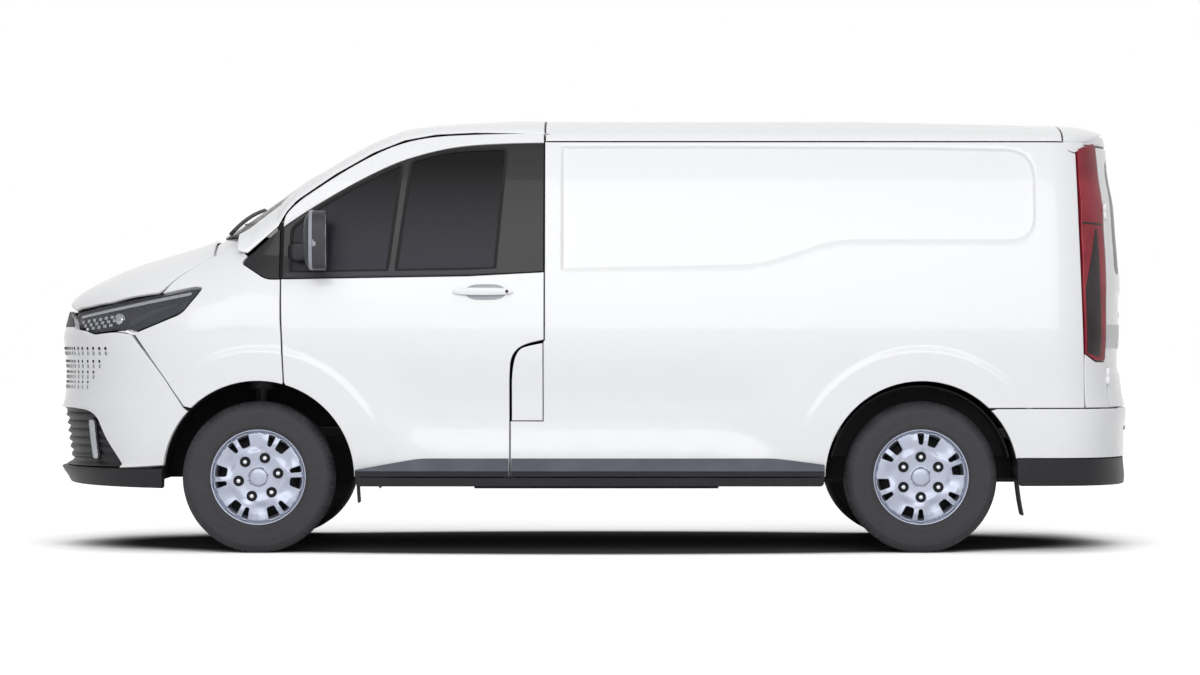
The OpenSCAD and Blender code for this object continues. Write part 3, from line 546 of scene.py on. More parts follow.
def blank(rims, holes, step, rings):
    """A flat mesh inside the rims and outside the holes, with grid points between."""
    low, high = rims[0].min(0), rims[0].max(0)
    gx, gq = np.meshgrid(np.arange(low[0], high[0], step), np.arange(low[1], high[1], step))
    grid = np.stack([gx.ravel(), gq.ravel()], 1)
    loops = [rims[0], *holes]

    def clear(pts, room):
        keep = inside(pts, rims[0])
        for h in holes:
            keep &= ~inside(pts, h)
        pts_near = np.full(len(pts), 1e9)
        for loop in loops:
            pts_near = np.minimum(pts_near, distance(pts, loop))
        return keep & (pts_near > room)

    coords, edges = [], []
    for loop in loops:
        n = len(coords)
        coords += [tuple(p) for p in loop]
        edges += [(n + i, n + (i + 1) % len(loop)) for i in range(len(loop))]
    for ring in rings:
        ok = clear(ring, step * .3)
        grid = grid[distance(grid, ring, False) > step * .45] if len(grid) else grid
        last = None
        for point, good in zip(ring, ok):
            if good:
                coords.append(tuple(point))
                if last is not None:
                    edges.append((last, len(coords) - 1))
                last = len(coords) - 1
            else:
                last = None
    grid = grid[clear(grid, step * .45)]
    coords += [tuple(p) for p in grid]
    v, _, f, *_ = delaunay_2d_cdt([Vector(c) for c in coords], edges, [], 0, 1e-6)
    v, f = np.array([tuple(p) for p in v]), np.array([t for t in f if len(t) == 3])
    c = v[f].mean(1)
    keep = inside(c, rims[0])
    for h in holes:
        keep &= ~inside(c, h)
    return v, f[keep]


def panel(name, loop, surf, out, mats, holes=(), step=.02, thick=.03, edge=.004, rings=(), back=True,
        lift=0, body="body", **extra):
    """A skin on surf, cut to a flat loop, with rounded edges, sides thick deep and a back."""
    rims, cuts = grow(loop, -edge), [grow(h, edge) for h in holes]
    flat, tris = blank([rims], cuts, step, rings)
    pos, nor = lay(surf, flat, out)
    pos = pos + nor * lift
    tri_n = np.cross(pos[tris[:, 1]] - pos[tris[:, 0]], pos[tris[:, 2]] - pos[tris[:, 0]])
    if float((tri_n * nor[tris[:, 0]]).sum()) < 0:
        tris = tris[:, ::-1]
    V, N, F, K = [pos], [nor], [tris], [np.zeros(len(tris), int)]
    count = len(pos)
    faces = tris.tolist()
    kinds = [0] * len(tris)
    turns = np.radians([0, 22, 45, 68, 90])
    for base, sign in [(loop, -1), *[(h, 1) for h in holes]]:
        rows = [(grow(base, sign * edge * (1 - math.sin(a))), edge * (1 - math.cos(a)), a) for a in turns]
        rows.append((base, thick, math.pi / 2))
        first, n = count, len(base)
        inner, _ = lay(surf, grow(base, sign * edge), out)
        outer, _ = lay(surf, base, out)
        away = unit(outer - inner)
        for at, drop, a in rows:
            p, nn = lay(surf, at, out)
            V.append(p + nn * (lift - drop))
            N.append(nn * math.cos(a) + away * math.sin(a))
            count += n
        for r in range(len(rows) - 1):
            for i in range(n):
                j = (i + 1) % n
                faces.append([first + r * n + i, first + r * n + j, first + (r + 1) * n + j,
                    first + (r + 1) * n + i])
                kinds.append(0)
        quad = faces[-n * (len(rows) - 1)]
        allv = np.concatenate(V)
        a, b, c = (allv[quad[k]] for k in (0, 1, 3))
        if float(np.dot(np.cross(b - a, c - a), np.concatenate(N)[quad[0]] + away[0])) < 0:
            for k in range(len(faces) - n * (len(rows) - 1), len(faces)):
                faces[k] = faces[k][::-1]
    if back:
        V.append(pos - nor * thick)
        N.append(-nor)
        faces += (tris[:, ::-1] + count).tolist()
        kinds += [1 if len(mats) > 1 else 0] * len(tris)
    ob = made(name, np.concatenate(V), faces, mats, body, kinds, np.concatenate(N), **extra)
    print(name, len(faces), "faces")
    return ob


# %% [markdown]
# The sides carry three pressed shapes: a long shallow recess along the load space, a ledge that follows
# each wheel arch, and a lean inwards below a crease. They are one function of length and height that is
# taken off the master surface, so doors and fixed walls share them across the gaps.

# %% Side pressings
RECESS = outline(off(XR, [(1.6337, 1.849), (.955, 1.849), (-.024, 1.843, .2), (-.525, 1.832, .14),
    (-.525, 1.402, .13), (.38, 1.402, .09), (.73, 1.289, .09), (1.6337, 1.272)]), .018)


def arch_ledge(x, z):
    total = 0
    for axle in (XF, XR):
        dx, dz = x - axle, z - TYRE_R
        turn = np.degrees(np.arctan2(np.abs(dx), dz))
        total = total + ease((.602 - np.hypot(dx, dz)) / .04) * ease((74 - turn) / 22)
    return .011 * total


def undercut(x, z):
    crease = .933 - .06 * ease((XR + .7 - x) / .334)
    low = .624 - .144 * ease((XR + .955 - x) / .376)
    t = (crease - z) / (crease - low)
    depth = np.where(t < 1, ease(t), ease((z - .36) / (low - .36)))
    near = np.minimum(np.hypot(x - XF, z - TYRE_R), np.hypot(x - XR, z - TYRE_R))
    return .03 * depth * ease((near - .54) / .3) * (x > XR) * (x < XF)


def pressing(x, z):
    flat = np.stack([x, z], 1)
    d = np.full(len(flat), -1.)
    close = (z > 1.2) & (x < XR + 1.7)
    if close.any():
        d[close] = depth_in(flat[close], RECESS)
    return .015 * ease(d / .018) + undercut(x, z) - arch_ledge(x, z)


def skin_y(x, z):
    """The side's own curve as far as the door, turning into the wing's rolled top ahead of it."""
    ahead = ease((x - XF + .1) / .25)
    wing = np.minimum(wing_y(x, z), side_y(x, np.minimum(z, SHOULDER_Z + .04)))
    return side_y(x, z) * (1 - ahead) + wing * ahead


def side(s):
    def surf(x, z):
        return np.stack([x, s * (skin_y(x, z) - pressing(x, z)), z], 1)
    return surf


def flank(s):
    """A side's surface with the direction that is outward on it, as panel takes them."""
    return side(s), (0, s, 0)


def arch(axle, start, end, r=ARCH_R):
    """Points of a wheel opening from one angle to another, clockwise from the front, in degrees."""
    a = np.radians(np.linspace(start, end, 33))
    return [(axle + r * math.cos(t), TYRE_R + r * math.sin(t)) for t in a]


def rings_round(axle, radii=(.562, .575, .588, .602)):
    return [np.array(arch(axle, 10, 170, r)) for r in radii]


RECESS_RINGS = [np.vstack([g, g[:1]]) for g in (grow(RECESS, -d) for d in (0.001, .007, .014, .02))]
print("recess", np.round(RECESS.min(0), 3), np.round(RECESS.max(0), 3))

# %% [markdown]
# The load side is one pressing from the cab door to the tail lamp. It is cut round the wheel, the lamp
# and the bumper end, and the extra rings of points along each crease keep the pressings crisp. On the
# right the wall is shared between a fixed rear part, a sliding door and a corner behind the cab door.

# %% Load side panels
SKIN = .03
STEP_X = XF - 1.143
PILLAR_X = XF - 1.298
LAMP_X = XR - .738
BUMPER_TOP = .652
SIDE_TOP = 1.864
SLIDE_X = XR + .506
rear_part = (arch(XR, 0, 134) + [(XR - .34, BUMPER_TOP + .005), (LAMP_X, BUMPER_TOP + .005),
    (LAMP_X + .002, .87), (LAMP_X + .02, 1.5), (LAMP_X + .026, 1.812), (LAMP_X + .062, 1.822, .03),
    (LAMP_X + .078, SIDE_TOP)])
step_part = [(XF - 1.205, .936, .04), (XF - 1.172, .915, .03), (XF - 1.15, .87, .04), (STEP_X, .795, .04),
    (STEP_X, .345)]
flap_loop = outline(off(XF, [(-1.288, .6), (-1.288, .95), (-1.2, .932, .05), (-1.176, .912, .02),
    (-1.158, .87, .04), (-1.149, .795, .04), (-1.149, .6)]), .018)
flap_room = [(XF - 1.292, .956), (XF - 1.292, .596), (STEP_X, .596), (STEP_X, .345)]
SIDE_RINGS = RECESS_RINGS + rings_round(XR)
left_wall = outline([(PILLAR_X, SIDE_TOP), (PILLAR_X, .956), *flap_room, (XR + .435, .345), *rear_part],
    .018)
panel("load_side_left", left_wall, *flank(1), [PAINT, GREY], thick=SKIN, rings=SIDE_RINGS,
    node="side_panel_left")
right_wall = outline([(SLIDE_X - .006, SIDE_TOP), (SLIDE_X - .006, .345), (XR + .435, .345), *rear_part],
    .018)
panel("load_side_right", right_wall, *flank(-1), [PAINT, GREY], thick=SKIN, rings=SIDE_RINGS,
    node="side_panel_right")
corner = outline([(PILLAR_X + .006, .954), *step_part, (PILLAR_X + .006, .345)], .018)
panel("cab_corner_right", corner, *flank(-1), [PAINT, GREY], thick=SKIN)
slide_loop = outline([(SLIDE_X, SIDE_TOP), (SLIDE_X, .345), (PILLAR_X, .345), (PILLAR_X, SIDE_TOP)], .018)
panel("slide_door_skin", slide_loop, *flank(-1), [PAINT, GREY], thick=SKIN, rings=RECESS_RINGS,
    node="sliding_door")
panel("flap_skin", flap_loop, *flank(1), [PAINT, DARK], thick=.01, node="filler_flap", body="filler_flap")

# %% [markdown]
# Behind the filler flap is a cup with the filler cap. A cap is a moulded knob, so it is turned from one
# profile and given grip flutes by pulling every other column of its rim inwards.


# %% Turned shapes
def turned(name, profile, at, axis, sides, mats, flute=None, body="body", **extra):
    """Profile points (radius, along) turned round an axis through a point. flute changes the radius."""
    axis = Vector(axis).normalized()
    across = axis.orthogonal().normalized()
    up = axis.cross(across)
    verts = []
    for r, along in profile:
        for i in range(sides):
            a = 2 * math.pi * i / sides
            rr = r * (flute(a, r, along) if flute else 1)
            spoke = across * (rr * math.cos(a))
            verts.append(Vector(at) + axis * along + spoke + up * (rr * math.sin(a)))
    return made(name, verts, bands(len(profile), sides), mats, body, **extra)


flap_x, flap_z = XF - 1.215, .79
cup_y = float(spot(side(1), flap_x, flap_z)[1])
cup = outline(off(XF, [(-1.284, .604), (-1.284, .94), (-1.205, .926, .05), (-1.16, .86, .05),
    (-1.153, .604)]), .02)
panel("filler_recess", cup, *flank(1), [DARK], thick=.004, lift=-.045)
turned("filler_cap", [(.001, .0), (.03, .0), (.034, -.003), (.036, -.012), (.036, -.02)],
    (flap_x, cup_y - .022, flap_z), (0, 1, 0), 48, [TRIM],
    flute=lambda a, r, k: 1 - .07 * (math.cos(a * 12) > .3) * (r > .03))

# %% [markdown]
# A front door is two painted parts round a black surround: the lower skin and the frame over the window.
# The surround is gloss black with two panes let into it, and a thick card of cab plastic closes the back.

# %% Front doors
BELT = off(XF, [(-.104, 1.239), (-.95, 1.252), (-1.2925, 1.27)])
door_low = outline([*BELT, (XF - 1.2925, .966), (XF - 1.21, .947, .04), (XF - 1.168, .921, .03),
    (XF - 1.143, .88, .04), (XF - 1.1375, .796, .04), (XF - 1.1375, .346), (XF - .436, .346),
    *arch(XF, 176, 107, ARCH_R + .001), (XF - .1205, .772), (XF - .1065, 1.068)], .018)
frame_out = off(XF, [(-.1125, 1.487), (-.118, 1.53, .03), (-.172, 1.588, .05), (-.343, 1.706, .1),
    (-.52, 1.808, .1), (-.66, 1.865, .08), (-.8, 1.891, .07), (-.98, 1.9, .08), (-1.2925, 1.908)])
frame_in = off(XF, [(-1.2925, 1.862), (-1.126, 1.859, .08), (-.93, 1.848, .1), (-.79, 1.822, .08),
    (-.63, 1.775, .08), (-.45, 1.688, .1), (-.2426, 1.566, .1), (-.1125, 1.478)])
door_top = outline(frame_out + frame_in, .016)
surround = outline([(x, z - .003, *r) for x, z, *r in frame_in] + off(XF,
    [(-.108, 1.2435), (-.95, 1.2565), (-1.2915, 1.2745)]), .016)
pane_front = outline(off(XF, [(-.15, 1.276), (-.155, 1.468, .02), (-.26, 1.552, .06), (-.45, 1.664, .1),
    (-.6426, 1.757, .01), (-.579, 1.283)]), .016)
pane_main = outline(off(XF, [(-.629, 1.284), (-.697, 1.774, .02), (-.83, 1.812, .08), (-.95, 1.824, .08),
    (-1.117, 1.829, .02), (-1.066, 1.292, .01)]), .016)
for s, word in SIDES:
    out, body = (0, s, 0), f"front_door_{word}"
    panel(f"door_skin_{word}", door_low, side(s), out, [PAINT, CAB], thick=.075, rings=rings_round(XF),
        node=f"front_door_{word}", body=body)
    panel(f"door_frame_{word}", door_top, side(s), out, [PAINT, CAB], thick=.045, step=.016, body=body)
    panel(f"window_surround_{word}", surround, side(s), out, [BLACK, CAB], holes=[pane_front, pane_main],
        thick=.035, edge=.003, lift=-.004, step=.016, body=body)
    waist = outline(off(XF, [(-.12, 1.249), (-.95, 1.2615), (-1.088, 1.2675), (-1.086, 1.2875),
        (-.95, 1.2815), (-.12, 1.27)]), .016)
    panel(f"waist_seal_{word}", waist, side(s), out, [SEAL], thick=.004, edge=.002, lift=-.001, body=body)
    for pane, part in ((pane_front, "front"), (pane_main, "main")):
        panel(f"pane_seal_{part}_{word}", grow(pane, .013), side(s), out, [DARK],
            holes=[grow(pane, -.001)], thick=.003, edge=.001, lift=-.0025, step=.016, body=body)
        panel(f"door_pane_{part}_{word}", grow(pane, .003), side(s), out, [SIDE_GLASS], thick=.004,
            edge=.001, lift=-.008, node=f"door_glass_{word}" if part == "main" else None, body=body)
print("doors made")

# %% [markdown]
# The roof, the pillars and the windscreen share one skin: across the van it arches from a centreline
# height to the top edge of the doors. The cab roof is a horseshoe round the windscreen, and a seam over
# the rear of the cab divides it from the ribbed load roof.

# %% Roof skin
EDGE_U = np.array([-2.2, -1.34, -1.29, -.98, -.8, -.66, -.52, -.343, -.172, -.118, -.09, .054, .3]) + XF
EDGE_Z = np.array([SIDE_TOP, SIDE_TOP, 1.9, 1.906, 1.897, 1.871, 1.815, 1.714, 1.597, 1.536, 1.478, 1.352,
    1.29])
ROOF_SPAN = .96


def edge_z(x):
    return np.where(x < PILLAR_X, SIDE_TOP + .0005, np.interp(x, EDGE_U, EDGE_Z))


def roof_skin(x, q):
    k = np.sin(np.clip(q / ROOF_SPAN, -1, 1) * math.pi / 2)
    low = edge_z(x)
    high = top_z(x)
    rib = np.where(x < PILLAR_X - .05, .006 * ease((np.cos(k * 5 * math.pi) - .1) / .5), 0)
    rib = rib * ease((PILLAR_X - .08 - x) / .06) * ease((x - TAIL_X - .42) / .06)
    rib = rib * ease((.82 - np.abs(k)) / .04)
    z = low + (high - rib - low) * np.maximum(0, 1 - np.abs(k) ** 2.3) ** .42
    return np.stack([x, k * side_y(x, low), z], 1)


ROOF_Q = ROOF_SPAN * .9935
cab_roof = outline([(PILLAR_X + .004, ROOF_Q), (XF + .052, ROOF_Q), (XF + .098, .9, .02),
    (XF + .102, .64), (XF - .3, .628, .1), (XF - .622, .6, .09), (XF - .66, 0, .5), (XF - .622, -.6, .09),
    (XF - .3, -.628, .1), (XF + .102, -.64), (XF + .098, -.9, .02), (XF + .052, -ROOF_Q),
    (PILLAR_X + .004, -ROOF_Q)], .02)
panel("cab_roof", cab_roof, roof_skin, (0, 0, 1), [PAINT, GREY], thick=.03, step=.025,
    node=["roof", "windscreen_frame"])
HEADER_X = XR - .656
load_roof = outline([(PILLAR_X, ROOF_Q), (HEADER_X + .005, ROOF_Q), (HEADER_X + .005, -ROOF_Q),
    (PILLAR_X, -ROOF_Q)], .025)
panel("load_roof", load_roof, roof_skin, (0, 0, 1), [PAINT, GREY], thick=.03, step=.025)
roof_tail = float(tail_at(np.array([1.9]))[0]) + .004
rear_roof = outline([(HEADER_X, ROOF_Q), (roof_tail + .12, ROOF_Q, .05), (roof_tail + .008, .5, .3),
    (roof_tail, 0, .3), (roof_tail + .008, -.5, .3), (roof_tail + .12, -ROOF_Q, .05),
    (HEADER_X, -ROOF_Q)], .02)
panel("roof_rear_edge", rear_roof, roof_skin, (0, 0, 1), [PAINT, GREY], thick=.03)
for s, word in SIDES:
    tab = outline([(HEADER_X + .002, SIDE_TOP + .004), (HEADER_X - .016, 1.828, .02),
        (LAMP_X + .028, 1.817, .01), (LAMP_X + .004, 1.83), (LAMP_X - .03, SIDE_TOP + .004)], .012)
    panel(f"roof_tab_{word}", tab, *flank(s), [PAINT], thick=.02, step=.012)
screen = outline(off(XF, [(.108, .61, .03), (.2, .36, .2), (.222, 0, .3), (.2, -.36, .2),
    (.108, -.61, .03), (-.3, -.62, .1), (-.614, -.592, .09), (-.65, 0, .5), (-.614, .592, .09),
    (-.3, .62, .1)]), .025)
panel("windscreen_pane", screen, roof_skin, (0, 0, 1), [SCREEN], thick=.005, edge=.002, step=.04,
    lift=-.006, node="windscreen")
band = outline(grow(screen, .002), .03)
panel("windscreen_border", band, roof_skin, (0, 0, 1), [BLACK], holes=[grow(screen, -.035)], thick=.003,
    edge=.001, lift=-.0125, step=.03)

# %% [markdown]
# Ahead of the door a gloss black trim fills the foot of the pillar, and the wing wraps from there down to
# the wheel arch. Both are cut from the side skin, and the wing's top rolls over towards the bonnet.

# %% Wings and pillar trim
tri = outline(off(XF, [(.077, 1.314, .02), (-.036, 1.2425, .03), (-.0945, 1.2425), (-.0955, 1.468),
    (.05, 1.3455, .02)]), .014)
wing = outline(off(XF, [(-.0985, 1.2375), (-.0995, 1.068), (-.1145, .78),
    *arch(0, 105, 46, ARCH_R + .001), (.335, .664), (.568, .992), (.347, 1.082, .03), (.262, 1.187, .03),
    (.256, 1.206, .02), (.3, 1.206, .02), (.438, 1.178), (.398, 1.226, .03), (.342, 1.271, .03),
    (.278, 1.312, .03), (.22, 1.345, .02), (.16, 1.372, .02), (.1, 1.392), (.056, 1.346),
    (.083, 1.314, .02), (-.034, 1.2375, .03)]), .014)
for s, word in SIDES:
    # A black sheet set back behind the gap at the door's front edge is painted shade: it stands for the
    # shade inside the gap.
    gap_shade = outline(off(XF, [(-.1105, 1.2), (-.08, 1.2), (-.08, 1.5), (-.1105, 1.5)]), .02)
    panel(f"pillar_rebate_{word}", gap_shade, *flank(s), [DARK], thick=.004, edge=.001, lift=-.02)
    panel(f"pillar_trim_{word}", tri, *flank(s), [BLACK], thick=.02, edge=.003, lift=-.003, step=.014)
    panel(f"wing_{word}", wing, *flank(s), [PAINT, DARK], thick=.025, step=.016, rings=rings_round(XF),
        node="front_wings" if s > 0 else None)

# %% [markdown]
# The bonnet is one broad pressing with two soft ridges that run forward from the windscreen. Its side
# edges leave a narrow gap to the wings and roll over the tops of the headlamps.


# %% Bonnet
def bonnet_skin(x, y):
    ridge = np.exp(-((np.abs(y) - .52 + .12 * np.clip((x - XF - .2) / .7, 0, 1)) / .045) ** 2)
    fade = ease((x - XF - .2) / .15) * ease((XF + .86 - x) / .2)
    return np.stack([x, y, bonnet_z(x, y) + .005 * ridge * fade], 1)


half_bonnet = off(XF, [(.942, 0, .2), (.934, .3, .1), (.912, .46, .08), (.876, .573, .03),
    (.8, .687, .06), (.7, .775, .06), (.66, .8, .05), (.55, .85, .05), (.452, .883, .02),
    (.402, .856, .02), (.346, .826, .03), (.281, .796, .03), (.222, .786, .01), (.236, .4, .2)])
bonnet_loop = outline(half_bonnet + [(XF + .25, 0, .2)] + [(x, -y, r) for x, y, r in half_bonnet[:0:-1]],
    .02)
panel("bonnet_skin", bonnet_loop, bonnet_skin, (0, 0, 1), [PAINT, IRON], thick=.012, step=.022,
    node="bonnet", body="bonnet")

# %% [markdown]
# Nose and tail are wrapped bands. A flat place (turn, height) goes to a corner that is rounder than a
# box and squarer than an ellipse, so an outline can run right round from one side of the van to the other.


# %% Wrapped ends
NOSE_TUCK = .022


def corner_turn(a):
    c, s = np.cos(a), np.sin(a)
    rho = (np.abs(c) ** 3 + np.abs(s) ** 3) ** (1 / 3)
    return c / rho, s / rho


def nose(a, z):
    c, s = corner_turn(a)
    over = np.maximum(0, np.abs(a) - math.pi / 2)
    x = CORNER_F + (nose_at(z) - CORNER_F) * np.maximum(c, 0) - over
    return np.stack([x, (wall_y(z) - NOSE_TUCK) * np.where(over > 0, np.sign(a), s), z], 1)


def nose_turn(u, z):
    """The turn at which the nose band is u ahead of the front axle."""
    t = min(1, (XF + u - CORNER_F) / (float(nose_at(z)) - CORNER_F))
    return math.atan2((1 - t ** 3) ** (1 / 3), t)


TAIL_WIDE = .7


def tail(q, z):
    a = q / TAIL_WIDE
    over = np.maximum(0, np.abs(a) - math.pi / 2)
    c, s = corner_turn(a)
    x = CORNER_R - (CORNER_R - tail_at(z)) * np.maximum(c, 0) + over * TAIL_WIDE
    return np.stack([x, wall_y(z) * np.where(over > 0, np.sign(a), s), z], 1)


def tail_turn_x(x, z):
    t = min(1, max(0, (CORNER_R - x) / (CORNER_R - float(tail_at(z)))))
    turn = math.atan2((1 - t ** 3) ** (1 / 3), t)
    return TAIL_WIDE * (turn if x < CORNER_R else math.pi / 2 + (x - CORNER_R) / TAIL_WIDE)


def tail_turn_y(y, z):
    w = y / float(wall_y(z))
    return TAIL_WIDE * math.atan2(w, (1 - w ** 3) ** (1 / 3))


def mirrored(first, half, last):
    """An outline through the middle at two heights: the given half, then its mirror image."""
    return [(0, first), *half, (0, last), *((-p, *rest) for p, *rest in half[::-1])]


# %% [markdown]
# The front bumper is one painted moulding from wheel arch to wheel arch. Its face carries a field of
# small square cells in four rows that thin out downwards, and a black grille with fins fills the bottom.

# %% Front bumper and grille
bumper_half = [(nose_turn(.925, 1.098), 1.098, .02), (nose_turn(.885, 1.06), 1.06, .02),
    (nose_turn(.874, 1.022), 1.017, .01), (nose_turn(.806, 1.003), 1.004),
    (nose_turn(.77, .99), .987, .01), (nose_turn(.66, 1.0), 1.0, .03), (nose_turn(.585, .99), .99),
    (nose_turn(.341, .656), .658),
    *[(nose_turn(x - XF, z), z) for x, z in arch(XF, 43, 7, ARCH_R + .001)],
    (nose_turn(.642, .383), .383), (nose_turn(.718, .536), .53, .06),
    (nose_turn(.765, .635), .64, .07), (nose_turn(.88, .652), .653, .04)]
bumper_loop = outline(mirrored(1.1, bumper_half, .653), .02)
panel("bumper_skin", bumper_loop, nose, (1, 0, 0), [PAINT, DARK], thick=.025, step=.022,
    node="front_bumper")


band_half = [(nose_turn(.92, 1.094), 1.094), (nose_turn(.884, 1.06), 1.06, .02),
    (nose_turn(.874, 1.026), 1.024, .01)]
nose_band = outline(mirrored(1.096, band_half, 1.022), .02)
panel("nose_band", nose_band, nose, (1, 0, 0), [TRIM], thick=.004, edge=.0015, lift=.003, step=.015)


def fins(a, z):
    p = nose(a, z)
    wave = .5 - .5 * np.cos((z - .395) / .037 * 2 * math.pi)
    p[:, 0] -= .012 + .016 * ease(wave)
    return p


grille_half = [(nose_turn(.648, .387), .387), (nose_turn(.722, .532), .526, .06),
    (nose_turn(.77, .63), .634, .07), (nose_turn(.88, .647), .648, .04)]
grille_loop = outline(mirrored(.387, grille_half, .648), .02)
panel("grille_fins", grille_loop, fins, (1, 0, 0), [TRIM, DARK], thick=.02, step=.0125,
    node="lower_grille")
lip_half = [(nose_turn(.7, .379), .379), (nose_turn(.437, .378), .378), (nose_turn(.44, .29), .29),
    (nose_turn(.62, .287), .293, .1)]
lip_loop = outline(mirrored(.379, lip_half, .312), .02)
panel("front_lip", lip_loop, nose, (1, 0, 0), [TRIM, DARK], thick=.03, edge=.006)
for s, word in SIDES:
    bar = outline([(s * nose_turn(.797, .603), .6, .018), (s * (nose_turn(.797, .603) + .038), .6, .018),
        (s * (nose_turn(.775, .416) + .036), .42, .018), (s * nose_turn(.775, .416), .42, .018)], .01)
    panel(f"bumper_lamp_bezel_{word}", grow(bar, .007), nose, (1, 0, 0), [BLACK], thick=.02, edge=.003,
        lift=-.002, step=.012)
    panel(f"bumper_lamp_{word}", bar, nose, (1, 0, 0), [CLEAR], thick=.01, edge=.003, lift=.003,
        step=.012)
    panel(f"bumper_lamp_back_{word}", grow(bar, -.001), nose, (1, 0, 0), [CHROME], thick=.004, edge=.001,
        lift=-.0005, step=.012)

# %% [markdown]
# Each cell of the pattern is a dark square window with a pale grey strip of painted shadow under it. They
# are too small to cut, so one mesh of little chamfered tiles sits a hair above the paint, with fewer and
# fainter cells row by row.


# %% Bumper cell pattern
CORNERS = ((-1, -1), (1, -1), (1, 1), (-1, 1))


def tiles(name, cells, surf, out, mats, **extra):
    """Cells (p, q, half width, half height, material): tiny raised tiles with a sloped border."""
    verts, faces, kinds = [], [], []
    for p, q, w, h, kind in cells:
        n0 = len(verts)
        here, near = surf(np.array([p, p + .002]), np.array([q, q]))
        per = .002 / max(1e-4, float(np.linalg.norm(near - here)))
        for shrink, rise in ((1, .0006), (.72, .0016)):
            at = np.array([(p + a * w * per * shrink, q + b * h * shrink) for a, b in CORNERS])
            pos, nor = lay(surf, at, out)
            verts += [tuple(v) for v in pos + nor * rise]
        quads = [tuple(range(n0 + 4, n0 + 8))]
        quads += [(n0 + i, n0 + (i + 1) % 4, n0 + 4 + (i + 1) % 4, n0 + 4 + i) for i in range(4)]
        a, b, c = (np.array(verts[i]) for i in quads[0][:3])
        flip = float(np.cross(b - a, c - a) @ nor[0]) < 0
        faces += [f[::-1] if flip else f for f in quads]
        kinds += [kind] * 5
    ob = made(name, verts, faces, mats, "body", kinds, **extra)
    for f in ob.data.polygons:
        f.use_smooth = False
    print(name, len(cells), "cells")
    return ob


SHADE = grained("pattern_shadow", srgb(150, 153, 160), .5, 900, .05)
cells = []
COLUMNS = (.874, .852, .829, .8, .77, .7385, .7068)
for row, (height, reach) in enumerate(((.925, 7), (.866, 6), (.817, 5), (.771, 4))):
    for s in (-1, 1):
        turns = [s * nose_turn(u, height) for u in COLUMNS[:reach]]
        turns += [turns[0] * (1 - k / 20) for k in range(1, 20)] + ([0.0] if s > 0 else [])
        for a in turns:
            size = .0068 * (1 - .07 * row)
            cells.append((a, height, size, size, 1))
            # The pale grey strip under each cell is a painted shadow.
            cells.append((a, height - .0225, size, .0085, 2))
tiles("bumper_cells", cells, nose, (1, 0, 0), [PAINT, DARK, SHADE], slot="black_plastic")

# %% [markdown]
# A headlamp is a clear cover over a dark bowl. The cover is a pane on the wing's surface, and behind it
# sit a bowl, a row of bright reflector cells and a light guide, which the cover shows as a soft glitter.


# %% Headlamps
def lamp_face(s, sink=0):
    def surf(x, z):
        y = np.minimum(wing_y(x, z), side_y(x, np.minimum(z, SHOULDER_Z + .04)))
        return np.stack([x - sink * .7, s * (y - sink), z], 1)
    return surf


lamp_loop = outline(off(XF, [(.866, 1.082, .02), (.875, 1.025, .01), (.806, 1.02, .01), (.772, .994, .02),
    (.66, 1.007, .03), (.6, 1.008, .02), (.571, .9965, .01), (.349, 1.088, .03), (.264, 1.192, .015),
    (.276, 1.205, .01), (.44, 1.17), (.66, 1.13, .1)]), .014)
bowl_loop = grow(lamp_loop, -.008)
for s, word in SIDES:
    out = (.5, s, 0)
    panel(f"headlamp_cover_{word}", lamp_loop, lamp_face(s), out, [CLEAR], thick=.004, edge=.0015,
        step=.02, lift=.001, back=False, node="headlamps" if s > 0 else None)
    panel(f"headlamp_bowl_{word}", bowl_loop, lamp_face(s, .016), out, [BLACK], thick=.03, edge=.004,
        step=.02)
    guide = outline(off(XF, [(.845, 1.074, .01), (.845, 1.062, .006), (.46, 1.138, .1), (.31, 1.168, .02),
        (.31, 1.182, .01), (.46, 1.153, .1)]), .014)
    panel(f"headlamp_guide_{word}", guide, lamp_face(s, .009), out, [CHROME], thick=.006, edge=.002,
        step=.01)
    wing_bar = outline(off(XF, [(.6, 1.05, .01), (.48, 1.105, .03), (.35, 1.13, .02), (.47, 1.085, .03),
        (.585, 1.025, .01)]), .012)
    panel(f"headlamp_blade_{word}", wing_bar, lamp_face(s, .01), out, [SHELL], thick=.006, edge=.002,
        step=.01, slot="lamp_smoke")
    bright = []
    for row in range(3):
        for k in range(7 - row):
            x = XF + .835 - .03 * k - .012 * row
            bright.append((x, 1.045 - .016 * row + .0045 * k, .0105, .0062, 0))
    tiles(f"headlamp_cells_{word}", bright, lamp_face(s, .012), out, [CHROME])
    at = spot(lamp_face(s, .02), XF + .655, 1.052)
    turned(f"headlamp_projector_{word}", [(.001, .012), (.012, .0105), (.02, .006), (.025, 0), (.027, 0),
        (.03, .004), (.032, .002), (.032, -.01)], at, (.55, s * .83, .02), 40, [CHROME])

# %% [markdown]
# The tail is cut from one wrapped band like the nose: a two-tone bumper, a corner under each lamp, tall
# lamps that turn the corner, and two doors with a seam a hair off the middle.

# %% Rear bumper and corners
def edge_in(z):
    return float(wall_y(z)) - .165


